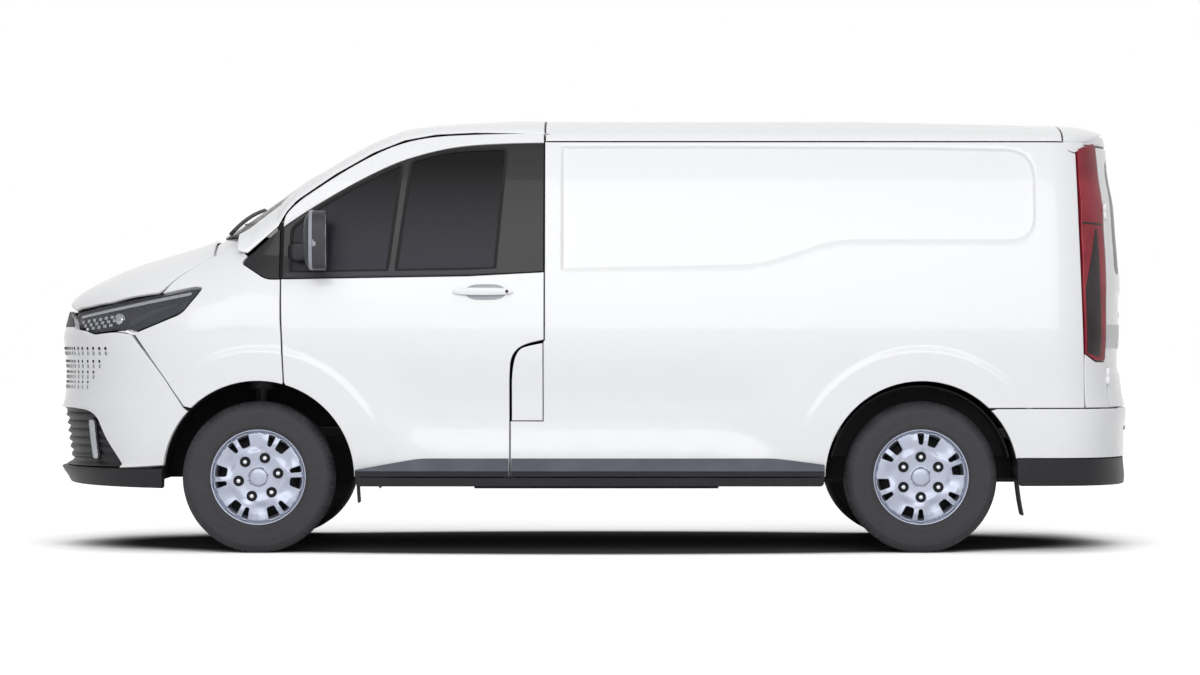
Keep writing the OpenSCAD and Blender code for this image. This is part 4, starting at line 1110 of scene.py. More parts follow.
REAR_END = XR - .34
low_arch = [(tail_turn_x(x, z), z) for x, z in arch(XR, 134, 170) if z < .645]
white_half = [(tail_turn_x(REAR_END, .652), .652), *low_arch[:-1], (tail_turn_x(XR - .43, .43), .43)]
rear_white = outline(mirrored(BUMPER_TOP, white_half, .43), .02)
panel("rear_bumper_white", rear_white, tail, (-1, 0, 0), [PAINT, DARK], thick=.03, step=.03,
    node="rear_bumper")
dark_half = [(tail_turn_x(XR - .432, .426), .426), (tail_turn_x(XR - .436, .3), .302, .02)]
rear_dark = outline(mirrored(.426, dark_half, .302), .02)
panel("rear_bumper_dark", rear_dark, tail, (-1, 0, 0), [TRIM, DARK], thick=.03, step=.03, lift=-.004)
lamp_x = lambda z: float(np.interp(z, [.66, .905, 1.195, 1.484, 1.815, 1.87],
    [LAMP_X - .006, LAMP_X, LAMP_X + .007, LAMP_X + .012, LAMP_X + .02, LAMP_X + .018])) - .004
for s, word in SIDES:
    under = outline([(s * tail_turn_x(lamp_x(.66), .66), .658), (s * tail_turn_x(lamp_x(.89), .89), .898),
        (s * tail_turn_x(lamp_x(.905) - .051, .865), .864),
        (s * tail_turn_y(edge_in(.86) + .008, .86), .862),
        (s * tail_turn_y(edge_in(.66) + .008, .66), .658)], .02)
    panel(f"rear_corner_{word}", under, tail, (-1, s, 0), [PAINT, DARK], thick=.02, step=.02)
    heights = (.905, 1.195, 1.484, 1.7, 1.835)
    front = [(s * tail_turn_x(lamp_x(z), z), z) for z in heights]
    back = [(s * tail_turn_y(edge_in(z) + .012, z), z) for z in heights[::-1]]
    tall = outline([(s * tail_turn_x(lamp_x(.905) - .05, .87), .87, .02)] + front
        + [(s * tail_turn_y(edge_in(1.86) + .02, 1.86), 1.866, .03)] + back
        + [(s * tail_turn_y(edge_in(.87) + .012, .87), .868, .02)], .018)
    panel(f"tail_lamp_{word}", tall, tail, (-1, s, 0), [RED, DARK], thick=.03, edge=.006, step=.02,
        lift=.002, node="tail_lamps" if s > 0 else None)
    mid = lambda z, k: tail_turn_x(lamp_x(z), z) * k + tail_turn_y(edge_in(z) + .012, z) * (1 - k)
    wedge = outline([(s * mid(1.47, .44), 1.47, .01), (s * mid(1.47, .36), 1.47, .01),
        (s * mid(.885, .3), .885, .02), (s * mid(.905, .93), .905, .01), (s * mid(1.2, .93), 1.2, .03)],
        .018)
    split = outline([(s * mid(1.5, .96), 1.5), (s * mid(1.5, .1), 1.494), (s * mid(1.49, .1), 1.485),
        (s * mid(1.49, .96), 1.491)], .012)
    panel(f"tail_lamp_split_{word}", split, tail, (-1, s, 0), [SMOKE_RED], thick=.002, edge=.0008,
        step=.01, lift=.0035)
    panel(f"tail_lamp_wedge_{word}", wedge, tail, (-1, s, 0), [SMOKE_RED], thick=.002, edge=.001,
        step=.02, lift=.0035)
    eye = spot(tail, s * tail_turn_y(.55, .56), .56)
    turned(f"parking_sensor_{word}", [(.001, .004), (.009, .0035), (.011, .001), (.012, -.004)], eye,
        (-1, s * .2, 0), 28, [TRIM])
header = outline([(-tail_turn_y(.8, 1.87), 1.856), (tail_turn_y(.8, 1.87), 1.856),
    (tail_turn_y(.72, 1.9), 1.9, .03), (-tail_turn_y(.72, 1.9), 1.9, .03)], .02)
panel("rear_header", header, tail, (-1, 0, 0), [PAINT, GREY], thick=.02, lift=-.002)
high = outline([(-.16, 1.867, .008), (.16, 1.867, .008), (.16, 1.887, .008), (-.16, 1.887, .008)], .012)
panel("high_stop_lamp", high, tail, (-1, 0, 0), [RED], thick=.004, edge=.003, lift=.003, step=.01)

# %% [markdown]
# Each rear door is pressed with a shallow panel under its window. The glass sits in a black border, a
# blank plate is on the left leaf, and pin hinges stand at the outer edge.


# %% Rear doors
def door_pressing(q, z):
    p = tail(q, z)
    box = ease((z - .8) / .03) * ease((1.19 - z) / .03) * ease((np.abs(q) - .11) / .03)
    box = box * ease((.63 - np.abs(q)) / .03)
    p[:, 0] += .009 * box
    return p


for s, word in SIDES:
    body = f"rear_door_{word}"
    zs = (.66, .9, 1.2, 1.5, 1.7, 1.85)
    leaf = outline([(s * .006, .664, .01), (s * .006, 1.846, .01)]
        + [(s * tail_turn_y(edge_in(z), z), min(z, 1.846)) for z in zs[::-1]], .02)
    pane = outline([(s * .1, 1.266, .04), (s * tail_turn_y(edge_in(1.26) - .1, 1.26), 1.266, .05),
        (s * tail_turn_y(edge_in(1.74) - .09, 1.74), 1.74, .06),
        (s * tail_turn_y(edge_in(1.79) - .13, 1.79), 1.792, .05), (s * .1, 1.792, .04)], .018)
    panel(f"rear_leaf_{word}", leaf, door_pressing, (-1, 0, 0), [PAINT, GREY], holes=[pane], thick=.05,
        step=.02, node=body, body=body)
    panel(f"rear_pane_{word}", grow(pane, .004), tail, (-1, 0, 0), [REAR_GLASS], thick=.004, edge=.001,
        lift=-.006, node=f"rear_glass_{word}", body=body)
    panel(f"rear_pane_border_{word}", grow(pane, .003), tail, (-1, 0, 0), [BLACK],
        holes=[grow(pane, -.028)], thick=.003, edge=.001, lift=-.0045, body=body)
    for h in (.8, 1.55):
        hub = spot(tail, s * tail_turn_y(edge_in(h) + .004, h), h)
        turned(f"rear_hinge_{word}_{int(h * 100)}", [(.001, -.036), (.009, -.036), (.0115, -.033),
            (.0115, -.002), (.0095, 0), (.0115, .002), (.0115, .033), (.009, .036), (.001, .036)],
            hub + np.array([-.006, 0, 0]), (0, 0, 1), 24, [PAINT])
PLATE = grained("plate_blank", srgb(214, 215, 218), .4, 900, .04)
plate = outline([(.17, .925, .012), (.6, .925, .012), (.6, 1.035, .012), (.17, 1.035, .012)], .012)
panel("rear_plate_blank", plate, door_pressing, (-1, 0, 0), [PLATE], thick=.003, edge=.0015, lift=.003,
    step=.02, body="rear_door_left")
grip = outline([(.035, 1.06, .02), (.15, 1.06, .02), (.15, 1.1, .02), (.035, 1.1, .02)], .01)
panel("rear_handle", grip, tail, (-1, 0, 0), [TRIM], thick=.012, edge=.008, lift=.012, step=.008,
    body="rear_door_left")

# %% [markdown]
# Black cladding closes the bottom of the sides. A chamfer leans in along its top as a rim of its own, in a
# lighter grey that is a painted highlight of the sky it faces. Each door carries its own strip and rim so
# that they open with it. Mud flaps hang behind the wheels.


# %% Cladding and mud flaps
CLAD_DEPTH, CLAD_TOP, CLAD_SLOPE = .034, .428, .058
CLAD_SPLIT, HAIR = .37, .0005
FLAPS = (("front", XF - ARCH_R - .016, WHEEL_Y - .08, WHEEL_Y + .09, .226, .345),
         ("rear", XR - ARCH_R - .006, WHEEL_Y - .1, WHEEL_Y + .06, .168, .42))


def clad(s):
    def surf(x, z):
        p = side(s)(x, z)
        p[:, 1] += s * CLAD_DEPTH * np.clip((CLAD_TOP - z) / CLAD_SLOPE, 0, 1)
        return p
    return surf


sill = outline([(XR + .442, .342), (XR + .442, .302, .02), (XF - .444, .302, .02), (XF - .444, .342)], .03)
tops = ((XR + .44, .4), (XR + .66, CLAD_TOP), (XF - .73, CLAD_TOP), (XF - .44, .377))
top = lambda x: float(np.interp(x, [t[0] for t in tops], [t[1] for t in tops]))
for s, word in SIDES:
    panel(f"sill_{word}", sill, clad(s), (0, s, 0), [TRIM, DARK], thick=.04, step=.03,
        node="lower_trims" if s > 0 else None)
    runs = [("door", f"front_door_{word}", XF - 1.134, XF - .441)]
    if s > 0:
        runs.append(("wall", "body", XR + .44, XF - 1.146))
    else:
        runs += [("wall", "body", XR + .44, SLIDE_X - .008),
            ("slide", "body", SLIDE_X + .002, PILLAR_X - .002),
            ("corner", "body", PILLAR_X + .008, XF - 1.146)]
    for part, body, x0, x1 in runs:
        strip = outline([(x0, .348), (x1, .348), (x1, CLAD_SPLIT - HAIR), (x0, CLAD_SPLIT - HAIR)], .03)
        rim = outline([(x0, CLAD_SPLIT + HAIR), (x1, CLAD_SPLIT + HAIR), (x1, top(x1))]
            + [(x, top(x), .05) for x, _ in tops[::-1] if x0 + .03 < x < x1 - .03] + [(x0, top(x0))], .03)
        # The rim's lighter grey is a painted highlight of the sky on the chamfer.
        for shape, tag, finish in ((strip, "cladding", TRIM), (rim, "cladding_rim", CHAMFER_HIGHLIGHT)):
            panel(f"{tag}_{part}_{word}", shape, clad(s), (0, s, 0), [finish], thick=.006, edge=.0015,
                lift=.003, step=.02, slot="black_plastic", body=body)
    for end, x, y0, y1, z0, z1 in FLAPS:
        flat = lambda p, q, x=x: np.stack([x - .01 * ((z1 - q) / .15) ** 2, p, q], 1)
        hang = outline([(s * y0, z0, .02), (s * y1, z0, .02), (s * y1, z1), (s * y0, z1)], .02)
        panel(f"mud_flap_{end}_{word}", hang, flat, (-1, 0, 0), [RUBBER], thick=.006, edge=.002, step=.02)

# %% [markdown]
# A tyre is turned from its section with three grooves round the tread. The shoulder is cut by blocks that
# repeat round it, and a rim line and a shallow ridge stand on the sidewall.

# %% Tyres and wheels
HW = TYRE_W / 2
FRONT_WHEEL_TURN = -19
NUT_CIRCLE = .091
TREAD_R = .343
TRIM_R = .2125


def tread(a, r, along):
    worn = .5 + .5 * math.cos(a * 72 + (8 * along / HW))
    on = min(1, max(0, (r - (TYRE_R - .022)) / .01))
    return 1 - .0055 / TREAD_R * on * (worn > .8) * (abs(along) > .22 * HW)


half_tyre = [(.2135, .80), (.2165, .86), (.222, .9), (.235, .945), (.2375, .952), (.24, .945),
    (.262, .988), (.285, 1.0), (.3, .992), (.306, .985), (.308, .992), (.311, .975), (.322, .93),
    (.331, .86), (.338, .79), (.3415, .72), (.343, .66), (.343, .5), (.343, .42), (.336, .41),
    (.336, .34), (.343, .33), (.343, .12), (.336, .11), (.336, -.11)]
tyre_line = [(r, k * HW) for r, k in half_tyre[:-1]] + [(r, -k * HW) for r, k in half_tyre[:-1][::-1]]


def lerp_disc(r):
    return np.interp(r, [0, .02, .04, .046, .075, .11, .14, .17, .198, .208, .2145],
        [.0765, .0755, .072, .066, .068, .0745, .0735, .0775, .074, .066, .058])


def wheel_face(x, s, turn):
    ct, st = math.cos(turn), math.sin(turn)

    def surf(p, q):
        r, a = np.hypot(p, q), np.arctan2(p, q)
        facet = .0075 * np.cos(a * 6 + .35) * ease((r - .108) / .03) * ease((.2 - r) / .04)
        y = WHEEL_Y + lerp_disc(r) + facet
        return np.stack([x + (p * ct + q * st), s * y, TYRE_R + (q * ct - p * st)], 1)
    return surf


def hexagon(a, r, along):
    """A nut's flats, as a share of its radius."""
    return .93 / math.cos((a + math.pi / 6) % (math.pi / 3) - math.pi / 6) if r > .009 else 1


def slot_at(mid, w0, w1, r0, r1):
    c, d = math.radians(mid), (w0 / 2, w1 / 2)
    corner = [(r0, -d[0] / r0), (r1, -d[1] / r1), (r1 + .002, 0), (r1, d[1] / r1), (r0, d[0] / r0)]
    return outline([(r * math.sin(c + t), r * math.cos(c + t), .009) for r, t in corner], .007)


slots = [g for k in range(6) for g in (slot_at(60 * k - 19.5, .036, .055, .145, .2005),
    slot_at(60 * k, .018, .03, .146, .2))]
for end, x in (("front", XF), ("rear", XR)):
    for s, word in SIDES:
        tag, body = f"{end}_{word}", f"wheel_{end}_{word}"
        hub = (x, s * WHEEL_Y, TYRE_R)
        turned(f"tyre_{tag}_rubber", tyre_line, hub, (0, s, 0), 216, [RUBBER], flute=tread,
            node=f"tyre_{tag}", slot="tyre_rubber", body=body)
        turned(f"rim_{tag}", [(.2, -.088), (.2135, -.09), (.2165, -.086), (.213, -.08), (.205, -.07),
            (.188, -.03), (.186, .03), (.2, .05), (.207, .078), (.2165, .084), (.2185, .088),
            (.216, .0905), (.2105, .088), (.2075, .08)], hub, (0, s, 0), 96, [SILVER], body=body)
        turn = math.radians(FRONT_WHEEL_TURN if end == "front" else 0)
        circle = np.linspace(0, 2 * math.pi, 97)[:-1]
        disc = outline([(TRIM_R * math.cos(t), TRIM_R * math.sin(t)) for t in circle], .014)
        panel(f"wheel_trim_{tag}", disc, wheel_face(x, s, turn), (0, s, 0), [SILVER, DARK], holes=slots,
            thick=.014, edge=.0035, step=.009, node=f"wheel_{tag}", body=body)
        turned(f"brake_disc_{tag}", [(.05, .03), (.07, .032), (.072, .012), (.14, .012), (.1405, .0),
            (.14, -.012), (.05, -.012)], hub, (0, s, 0), 72, [IRON], body=body)
        turned(f"wheel_well_{tag}", [(.001, .036), (.12, .034), (.184, .02), (.186, .0)], hub, (0, s, 0),
            64, [DARK], body=body)
        turned(f"hub_cap_{tag}", [(.001, .0815), (.02, .081), (.034, .079), (.04, .0765), (.042, .073),
            (.0425, .06)], hub, (0, s, 0), 48, [SILVER], body=body)
        for k in range(6):
            a = math.radians(60 * k) + turn
            base = (x + NUT_CIRCLE * math.sin(a), s * (WHEEL_Y + .0725),
                TYRE_R + NUT_CIRCLE * math.cos(a))
            turned(f"nut_seat_{tag}_{k}", [(.0105, .001), (.021, .0045), (.0225, .006), (.024, .004),
                (.024, -.004)], base, (0, s, 0), 32, [DARK], body=body)
            turned(f"nut_{tag}_{k}", [(.001, .0145), (.0065, .014), (.0098, .0115), (.0105, .009),
                (.0105, -.002)], base, (0, s, 0), 36, [CHROME],
                flute=hexagon, slot="wheel_silver", body=body)
print("wheels made")

# %% [markdown]
# Wheel arches are closed by moulded liners. Each is a drum with shallow ribs, so the light dies inside it
# and no daylight shows between the tyre and the body.


# %% Wheel arch liners
def liner(name, axle, s, low, inner):
    high, start, end = HALF - .024, -4, 184
    verts, faces, n = [], [], 97
    rows = [(low, inner)] + [(low + (high - low) * k / 8, ARCH_R + .004) for k in range(9)]
    rows.append((high - .03, ARCH_R + .05))
    for j, (y, radius) in enumerate(rows):
        for i in range(n):
            a = math.radians(start + (end - start) * i / (n - 1))
            r = radius - .005 * (math.cos(a * 44) > .55) * (0 < j < len(rows) - 2)
            x, z = axle + r * math.cos(a), max(.33, TYRE_R + r * math.sin(a))
            skin = float(spot(skin_y, x, z)) - undercut(x, z)
            verts.append((x, s * (low + (y - low) * (skin - .03 - low) / (high - low)), z))
    for j in range(len(rows) - 1):
        for i in range(n - 1):
            k = j * n + i
            faces.append((k, k + 1, k + n + 1, k + n))
    made(name, verts, faces, [DARK], "body")


for s, word in SIDES:
    liner(f"liner_front_{word}", XF, s, .545, .2)
    liner(f"liner_rear_{word}", XR, s, .7, .3)
print("liners made")

# %% [markdown]
# Handles, mirrors and arms are lofts: rings of a rounded section set along a path, closed at both ends.
# The section is a superellipse, so one number takes it from round to nearly square.


# %% Lofted shapes
def loft(name, rings, mats, sides=36, body="body", **extra):
    """Rings (centre, half vector a, half vector b, power) joined in order and capped."""
    verts = []
    for c, a, b, power in rings:
        for i in range(sides):
            t = 2 * math.pi * i / sides
            ct, st = math.cos(t), math.sin(t)
            ca = math.copysign(abs(ct) ** (2 / power), ct)
            sb = math.copysign(abs(st) ** (2 / power), st)
            verts.append(Vector(c) + Vector(a) * ca + Vector(b) * sb)
    faces = bands(len(rings), sides)
    faces += [tuple(range(sides))[::-1], tuple(range((len(rings) - 1) * sides, len(rings) * sides))]
    ob = made(name, verts, faces, mats, body, **extra)
    bm = bmesh.new()
    bm.from_mesh(ob.data)
    bmesh.ops.recalc_face_normals(bm, faces=bm.faces)
    bm.to_mesh(ob.data)
    bm.free()
    return ob


def dome(centre, axis, a, b, length, power):
    """Rings that round a form off at both ends along an axis."""
    out = []
    for t in (-1, -.97, -.88, -.7, -.4, 0, .4, .7, .88, .97, 1):
        k = (1 - abs(t) ** 3.2) ** .42
        at = Vector(centre) + Vector(axis) * (length / 2 * t)
        out.append((at, Vector(a) * k, Vector(b) * k, power))
    return out


# %% [markdown]
# A mirror is a deep shell on a short arm with a pane at its back. A paler band runs round its leading
# edge, and a small repeater in the same tone is let into the outer side.

# %% Mirrors
MIRROR_X = XF - .266
foot = float(spot(side_y, XF - .16, 1.36))
BAND = grained("mirror_band", srgb(150, 152, 160), .35, 1400, .06)
for s, word in SIDES:
    body = f"front_door_{word}"
    y = s * (foot + .147)
    loft(f"mirror_shell_{word}", [((MIRROR_X + dx, y, 1.411 + dz), (0, .089 * k, 0),
        (0, 0, .134 * k), 3.4) for dx, k, dz in ((-.051, .93, 0), (-.05, .985, 0), (-.044, 1, 0),
        (0, 1, 0), (.022, .96, 0), (.036, .86, 0), (.046, .68, 0), (.051, .4, 0))], [SHELL], sides=56,
        node=f"mirror_{word}", body=body)
    loft(f"mirror_band_{word}", [((MIRROR_X + .008 + dx, y, 1.413), (0, .0905 * k, 0),
        (0, 0, .1355 * k), 3.4) for dx, k in ((0, 1.0), (.003, 1.004), (.013, .985), (.016, .97))],
        [BAND], sides=56, body=body)
    loft(f"mirror_pane_{word}", [((MIRROR_X - .0505, y, 1.411), (0, .078, 0), (0, 0, .121), 3.2),
        ((MIRROR_X - .0522, y, 1.411), (0, .076, 0), (0, 0, .119), 3.2)], [CHROME], sides=48,
        body=body)
    loft(f"mirror_repeater_{word}", dome((MIRROR_X - .004, s * (foot + .2335), 1.40), (0, 0, 1),
        (.012, 0, 0), (0, .0025, 0), .055, 2.6), [BAND], sides=20, slot="lamp_smoke", body=body)
    loft(f"mirror_arm_{word}", [((XF - .168, s * (foot - .002), 1.362), (.036, 0, 0), (0, 0, .046), 2.8),
        ((XF - .19, s * (foot + .03), 1.362), (.03, 0, 0), (0, 0, .04), 2.8),
        ((XF - .225, s * (foot + .066), 1.364), (.024, 0, 0), (0, 0, .034), 2.8),
        ((XF - .24, s * (foot + .09), 1.366), (.022, 0, 0), (0, 0, .032), 2.8)], [SHELL], sides=28,
        body=body)

# %% [markdown]
# The door pull is a painted bar over a hollow, with the lock barrel let into its rear end. The hollow is a
# grey patch laid on the skin, with its shade painted in.

# %% Door handles
HANDLE_Z = 1.18
HANDLES = [("left", 1, "front_door_left", XF - 1.03), ("right", -1, "front_door_right", XF - 1.03),
    ("slide", -1, "body", PILLAR_X - .2)]
# The cup's grey is painted shade: it stands for the shadow in the hollow behind the pull.
HANDLE_SHADE = grained("handle_hollow_painted_shade", srgb(168, 170, 176), .4, 900, .05)
for word, s, body, x in HANDLES:
    z = HANDLE_Z
    y = float(spot(side(s), x, z)[1])
    hole = outline([(x - .1, z, .05), (x - .07, z + .036, .05), (x + .07, z + .036, .05),
        (x + .1, z, .05), (x + .07, z - .036, .05), (x - .07, z - .036, .05)], .01)
    panel(f"handle_cup_{word}", hole, *flank(s), [HANDLE_SHADE], thick=.002, edge=.0015, step=.012, lift=.0012,
        body=body)
    loft(f"handle_bar_{word}", dome((x + .012, y + s * .017, z + .003), (1, 0, 0), (0, .008, 0),
        (0, 0, .0175), .275, 3), [PAINT], sides=32, body=body)
    for dx in (-.1, .1):
        loft(f"handle_post_{word}_{'a' if dx < 0 else 'b'}",
            [((x + .012 + dx * .86, y - s * .004, z), (.012, 0, 0), (0, 0, .012), 2.4),
            ((x + .012 + dx * .86, y + s * .016, z), (.01, 0, 0), (0, 0, .01), 2.4)], [PAINT], sides=20,
            body=body)
    if word != "slide":
        turned(f"lock_{word}", [(.001, .0065), (.006, .0065), (.0085, .0045), (.0095, .002),
            (.0095, -.003)], (x - .096, y + s * .0175, z + .003), (0, s, 0), 28, [DARK], body=body)
track = outline([(XR + .02, 1.078), (SLIDE_X - .02, 1.078), (SLIDE_X - .02, 1.092), (XR + .02, 1.092)],
    .02)
panel("slide_track", track, *flank(-1), [TRIM], thick=.004, edge=.002, lift=.0015, step=.02)

# %% [markdown]
# At the foot of the windscreen a painted cowl fills the gap to the bonnet. Two wipers lie over it, each
# one slim bar that follows the glass.

# %% Cowl and wipers
cowl = outline(off(XF, [(.3, -.74, .05), (.31, 0, .3), (.3, .74, .05), (.16, .83, .04), (.06, .8, .04),
    (.12, .5, .2), (.16, 0, .4), (.12, -.5, .2), (.06, -.8, .04), (.16, -.83, .04)]), .03)
panel("cowl", cowl, bonnet_skin, (0, 0, 1), [PAINT, DARK], thick=.01, lift=-.02, step=.03)
for k, (y0, y1) in enumerate(((.62, .06), (-.02, -.56))):
    path = [(XF + .17 - .1 * t, y0 + (y1 - y0) * t) for t in np.linspace(0, 1, 9)]
    rings = []
    for x, y in path:
        base = spot(roof_skin, x - .03, y)
        rings.append((base + np.array([0, 0, .016]), (.008, 0, .003), (0, 0, .006), 2.5))
    loft(f"wiper_{k}", rings, [TRIM], sides=16)
for s, word in SIDES:
    # A black sheet behind the gaps round each headlamp is painted shade: it stands for the shade inside
    # them.
    nose_gap_shade = outline(off(XF, [(.88, 1.0), (.9, 1.12), (.62, 1.165), (.3, 1.24), (.3, 1.1)]), .03)
    panel(f"lamp_gap_shade_{word}", nose_gap_shade, lamp_face(s, .03), (.4, s, 0), [DARK], thick=.004, edge=.001,
        step=.04, back=False)

# %% [markdown]
# Seen through the glass: two seats. A cushion is foam in woven cloth, so it is a remeshed pad that a
# cloth simulation has blown up by no more than PUFF, then subdivided once and drawn in along its seams.
# The driver's three pads are simulated, and the mate's are copies of them.

# %% Seat cloth and cushions
cloth_f = Finish("seat_weave", srgb(52, 53, 58), .85, Sheen_Weight=.3)
weave = cloth_f.node("ShaderNodeTexBrick", sockets={"Vector": cloth_f.place(), "Scale": 260.0})
cloth_f.feed("Base Color", cloth_f.mix(cloth_f.noise(60, 3).within(.3, .7) * .5, srgb(46, 47, 52),
    srgb(70, 71, 78)))
cloth_f.bump(weave, .35, .0006)
CLOTH = cloth_f.material
VOXEL = .014
PUFF = .012
SEAM_WIDTH, SEAM_DEPTH = .01, .005
SEAT_Y = .4


def settle(ob):
    """Swap a piece's mesh for its evaluated one and drop the modifiers."""
    deps = bpy.context.evaluated_depsgraph_get()
    done = bpy.data.meshes.new_from_object(ob.evaluated_get(deps))
    ob.modifiers.clear()
    ob.data = done


def cushion(name, centre, size, tilt=0.0):
    me = bpy.data.meshes.new(name)
    bm = bmesh.new()
    bmesh.ops.create_cube(bm, size=1)
    bmesh.ops.scale(bm, vec=size, verts=bm.verts)
    bmesh.ops.bevel(bm, geom=list(bm.edges), offset=min(size) * .3, segments=5, profile=.6,
        affect="EDGES")
    bmesh.ops.rotate(bm, cent=(0, 0, 0), matrix=Matrix.Rotation(tilt, 3, "Y"), verts=bm.verts)
    bm.to_mesh(me)
    bm.free()
    me.materials.append(CLOTH)
    ob = added(name, me)
    ob.location = centre
    remesh = ob.modifiers.new("remesh", "REMESH")
    remesh.mode, remesh.voxel_size, remesh.use_smooth_shade = "VOXEL", VOXEL, True
    settle(ob)
    start = [v.co.copy() for v in ob.data.vertices]
    cloth = ob.modifiers.new("cloth", "CLOTH")
    cloth.settings.use_pressure, cloth.settings.uniform_pressure_force = True, 4.0
    cloth.settings.effector_weights.gravity = 0
    cloth.point_cache.frame_start, cloth.point_cache.frame_end = 1, 20
    for f in range(1, 21):
        bpy.context.scene.frame_set(f)
    settle(ob)
    for v, at in zip(ob.data.vertices, start):
        step = v.co - at
        v.co = at + step * min(1, PUFF / max(step.length, 1e-6))
    bpy.context.scene.frame_set(1)
    ob.modifiers.new("finer", "SUBSURF").levels = 1
    settle(ob)
    for v in ob.data.vertices:
        seam = sum(math.exp(-((abs(v.co.y) - size[1] * c) / SEAM_WIDTH) ** 2) for c in (.24, .43))
        v.co -= v.normal * SEAM_DEPTH * seam
    for f in ob.data.polygons:
        f.use_smooth = True
    return seated(ob)


def seated(ob):
    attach(ob, "body")
    print(ob.name, len(ob.data.polygons), "faces")
    return ob


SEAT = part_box("seats")
FLOOR_Z = SEAT[0].z
pads = []
for part, centre, size, tilt in (("seat_base", (XF - 1.0, SEAT_Y, FLOOR_Z + .27), (.48, .48, .13), 0),
        ("seat_back", (XF - 1.235, SEAT_Y, FLOOR_Z + .61), (.11, .46, .6), -.14),
        ("head_rest", (XF - 1.285, SEAT_Y, FLOOR_Z + 1.03), (.075, .25, .17), -.05)):
    pads.append(cushion(f"{part}_driver", centre, size, tilt))
    twin = added(f"{part}_mate", pads[-1].data.copy())
    twin.location = (centre[0], -centre[1], centre[2])
    seated(twin)
for tag, y in (("driver", SEAT_Y), ("mate", -SEAT_Y)):
    loft(f"seat_box_{tag}", [((XF - 1.02, y, FLOOR_Z + .002), (.23, 0, 0), (0, .21, 0), 6),
        ((XF - 1.02, y, FLOOR_Z + .21), (.2, 0, 0), (0, .19, 0), 6)], [CAB])
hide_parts("seats")

# %% [markdown]
# The rim of the steering wheel is a bent tube with a thicker grip at ten and two, three spokes and a pad.
# The fascia behind it is one grained moulding with a cowl over the dials and a centre console.

# %% Steering wheel and fascia
WHEEL_RAKE = math.radians(58)
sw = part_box("steering_wheel")
sw_mid = (sw[0] + sw[1]) / 2
tip = Vector((-math.sin(WHEEL_RAKE), 0, math.cos(WHEEL_RAKE)))
across, up = Vector((0, 1, 0)), tip.cross(Vector((0, 1, 0)))
verts, faces, N, M = [], [], 72, 16
for i in range(N):
    a = 2 * math.pi * i / N
    d = across * math.cos(a) + up * math.sin(a)
    thick = .0145 + .0015 * math.exp(-((math.cos(2 * a) - .3) / .2) ** 2)
    for j in range(M):
        b = 2 * math.pi * j / M
        verts.append(Vector(sw_mid) + d * (.182 + thick * math.cos(b)) + tip * (thick * math.sin(b)))
for i in range(N):
    for j in range(M):
        faces.append((i * M + j, ((i + 1) % N) * M + j, ((i + 1) % N) * M + (j + 1) % M,
            i * M + (j + 1) % M))
made("wheel_rim_grip", verts, faces, [CAB], "steering_wheel", node="steering_wheel")
for k, ang in enumerate((0, 180, 270)):
    a = math.radians(ang)
    d = across * math.cos(a) + up * math.sin(a)
    e = across * -math.sin(a) + up * math.cos(a)
    loft(f"wheel_spoke_{k}", [(Vector(sw_mid) + d * .04, e * .03, tip * .008, 3),
        (Vector(sw_mid) + d * .11, e * .019, tip * .006, 3),
        (Vector(sw_mid) + d * .178, e * .016, tip * .007, 3)], [CAB], body="steering_wheel")
turned("horn_pad", [(.001, .017), (.03, .0165), (.052, .012), (.06, .002), (.06, -.014)], sw_mid, tip, 48,
    [CAB], body="steering_wheel")
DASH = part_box("dashboard")
half = DASH[1].y - .01
loft("fascia", [((XF - .2, y, 1.06 + .03 * math.exp(-((y - .4) / .16) ** 2)), (.235 * k, 0, 0),
    (0, 0, .145 * k), 4) for y, k in [(-half, .82), (-half + .02, .96), (-half + .06, 1)]
    + [(y, 1) for y in np.linspace(-half + .12, half - .12, 17)] + [(half - .06, 1), (half - .02, .96),
    (half, .82)]], [CAB], sides=44, node="dashboard")
loft("console", [((XF - .36, 0, .72), (.1, 0, 0), (0, .12, 0), 4),
    ((XF - .34, 0, .9), (.1, 0, 0), (0, .13, 0), 4), ((XF - .3, 0, 1.05), (.08, 0, 0), (0, .14, 0), 4)],
    [CAB])

# %% [markdown]
# What is still plain frame is underneath or inside: chassis, axles, engine, tank and wheelhouses. Each
# keeps its built shape and gets its real part's finish, from road-dulled steel to cast and moulded ones.

# %% Finishes for carried-over parts
CAST = metal("cast_alloy", srgb(118, 120, 124), .55, .6, 30)
PIPE = metal("exhaust_pipe", srgb(126, 118, 108), .5, .8, 18)
BARE = grained("tank_moulding", srgb(40, 41, 44), .55, 400, .15)
LOAD = grained("load_floor_coat", srgb(120, 122, 126), .6, 500, .2, below=.5588)
DRESS = {"floor_pan": LOAD, "chassis_rails": IRON, "front_suspension": IRON, "rear_suspension": IRON,
    "engine_block": CAST, "radiator": IRON, "fuel_tank": BARE, "exhaust": PIPE, "bulkhead": GREY,
    "steering_column": CAB, "wheelhouses": DARK, "knuckle_left": CAST, "knuckle_right": CAST}
for name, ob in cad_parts.items():
    ob.data.materials.clear()
    ob.data.materials.append(DRESS.get(name, DARK if "tyre" in name else GREY))
print("dressed", len(DRESS), "carried-over nodes")

# %% [markdown]
# The van stands on a pale studio floor. The camera, mirrors and glass see it a shade lighter than the
# light that it throws back, so it reads as plain white. A darker oval deepens the shadow under the body.

# %% Studio floor
OVAL = (2.62, 1.2)
floor_me = bpy.data.meshes.new("floor")
bm = bmesh.new()
bmesh.ops.create_grid(bm, x_segments=8, y_segments=8, size=60)
bm.to_mesh(floor_me)
bm.free()
floor = added("floor", floor_me)


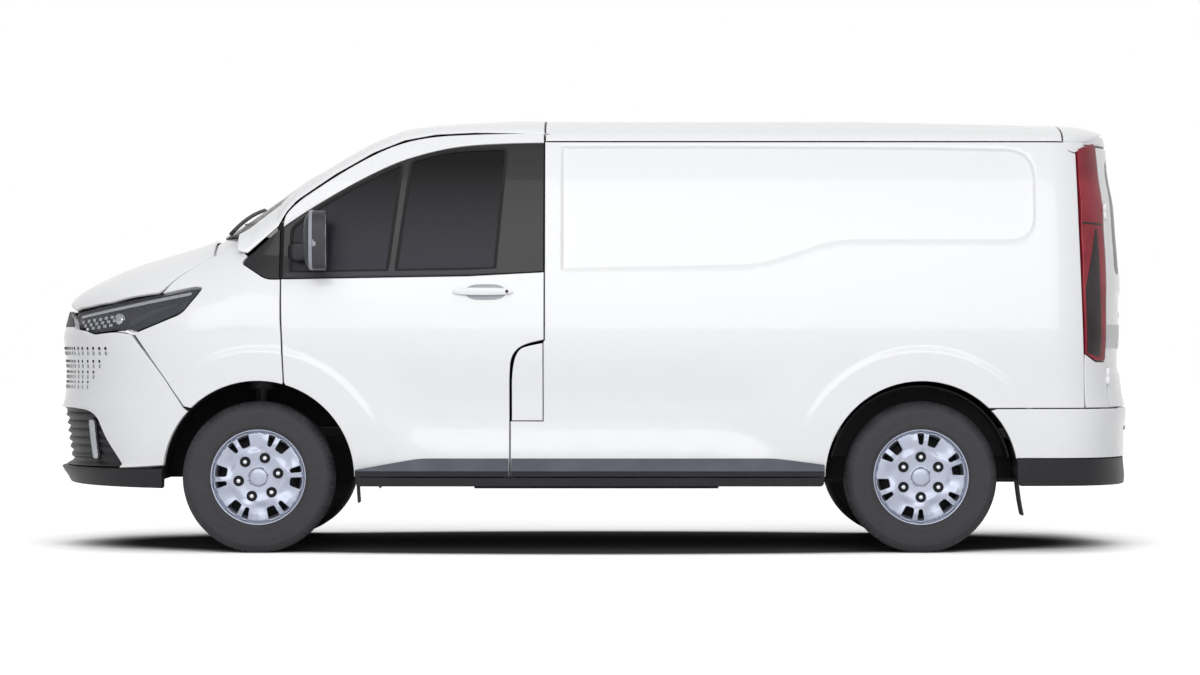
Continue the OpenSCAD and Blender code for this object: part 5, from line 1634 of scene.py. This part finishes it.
class Tree(Finish):
    """The same wires for a node tree that has no Principled shader: the floor's or the world's."""

    def __init__(self, tree, coordinates):
        self.tree, self.coordinates = tree, coordinates

    def place(self):
        return self.node("ShaderNodeTexCoord", out=self.coordinates)

    def shown(self):
        """1 for rays that show the backdrop: straight to the eye, mirrored, or through glass."""
        path = [self.node("ShaderNodeLightPath", out=f"Is {kind} Ray") for kind in ("Camera", "Glossy",
            "Transmission")]
        return path[0] + path[1] + path[2]


ground = bpy.data.materials.new("pale_floor")
ground.use_nodes = True
tree = Tree(ground.node_tree, "Object")
reach = ((tree.axis(0) / OVAL[0]) ** 2 + (tree.axis(1) / OVAL[1]) ** 2) ** .5
shade = tree.mix(reach.within(.82, 1), (.1, .1, .1), (1.6, 1.6, 1.6))
tint = tree.mix(tree.shown(), (.6, .6, .61), shade)
surface = tree.node("ShaderNodeBsdfDiffuse", sockets={0: tint})
ground.node_tree.nodes.remove(ground.node_tree.nodes["Principled BSDF"])
ground.node_tree.links.new(surface.socket, ground.node_tree.nodes["Material Output"].inputs[0])
floor_me.materials.append(ground)
print("floor ready")

# %% [markdown]
# A white van shows its form only if the light around it changes. The sky is brightest overhead and on the
# side that is looked at, and falls off towards the nose and tail, which is what turns their corners grey.

# %% Studio light
world = bpy.data.worlds.new("studio")
bpy.context.scene.world = world
world.use_nodes = True
sky = Tree(world.node_tree, "Generated")
height = .98 + sky.axis(2).within(.3, .95) * .12
ends = 1 - sky.axis(0).math("ABSOLUTE").within(.2, .85) * .96
shown = sky.shown()
strength = shown + (1 - shown) * height * ends
backdrop = world.node_tree.nodes["Background"]
backdrop.inputs[0].default_value = (1, 1, 1, 1)
world.node_tree.links.new(strength.socket, backdrop.inputs[1])


def area_light(name, at, aim, size, power):
    data = bpy.data.lights.new(name, "AREA")
    data.shape, data.size, data.size_y, data.energy = "RECTANGLE", size[0], size[1], power
    ob = added(name, data)
    ob.location = at
    ob.rotation_euler = (Vector(aim) - Vector(at)).to_track_quat("-Z", "Y").to_euler()
    return ob


area_light("side_box", (0, 7, 3.2), (0, 0, 1.1), (9, 3), 200)
print("light ready")

# %% [markdown]
# The eye is level with the middle of the side and far away, so the van is seen square on.

# %% Camera
camera = bpy.data.cameras.new("camera")
camera.sensor_width, camera.lens = 36, 119.3
camera.clip_end = 200
cam = added("camera", camera)
cam.location = (-.033, 18.95, .975)
cam.rotation_euler = (math.pi / 2, 0, math.pi)
bpy.context.scene.camera = cam
bpy.context.scene.view_settings.view_transform = "Standard"
print("camera ready")

# %% [markdown]
# Last, the view layer is brought up to date. The drawn van has to stay inside the size of the built one.

# %% Update the view layer
bpy.context.view_layer.update()
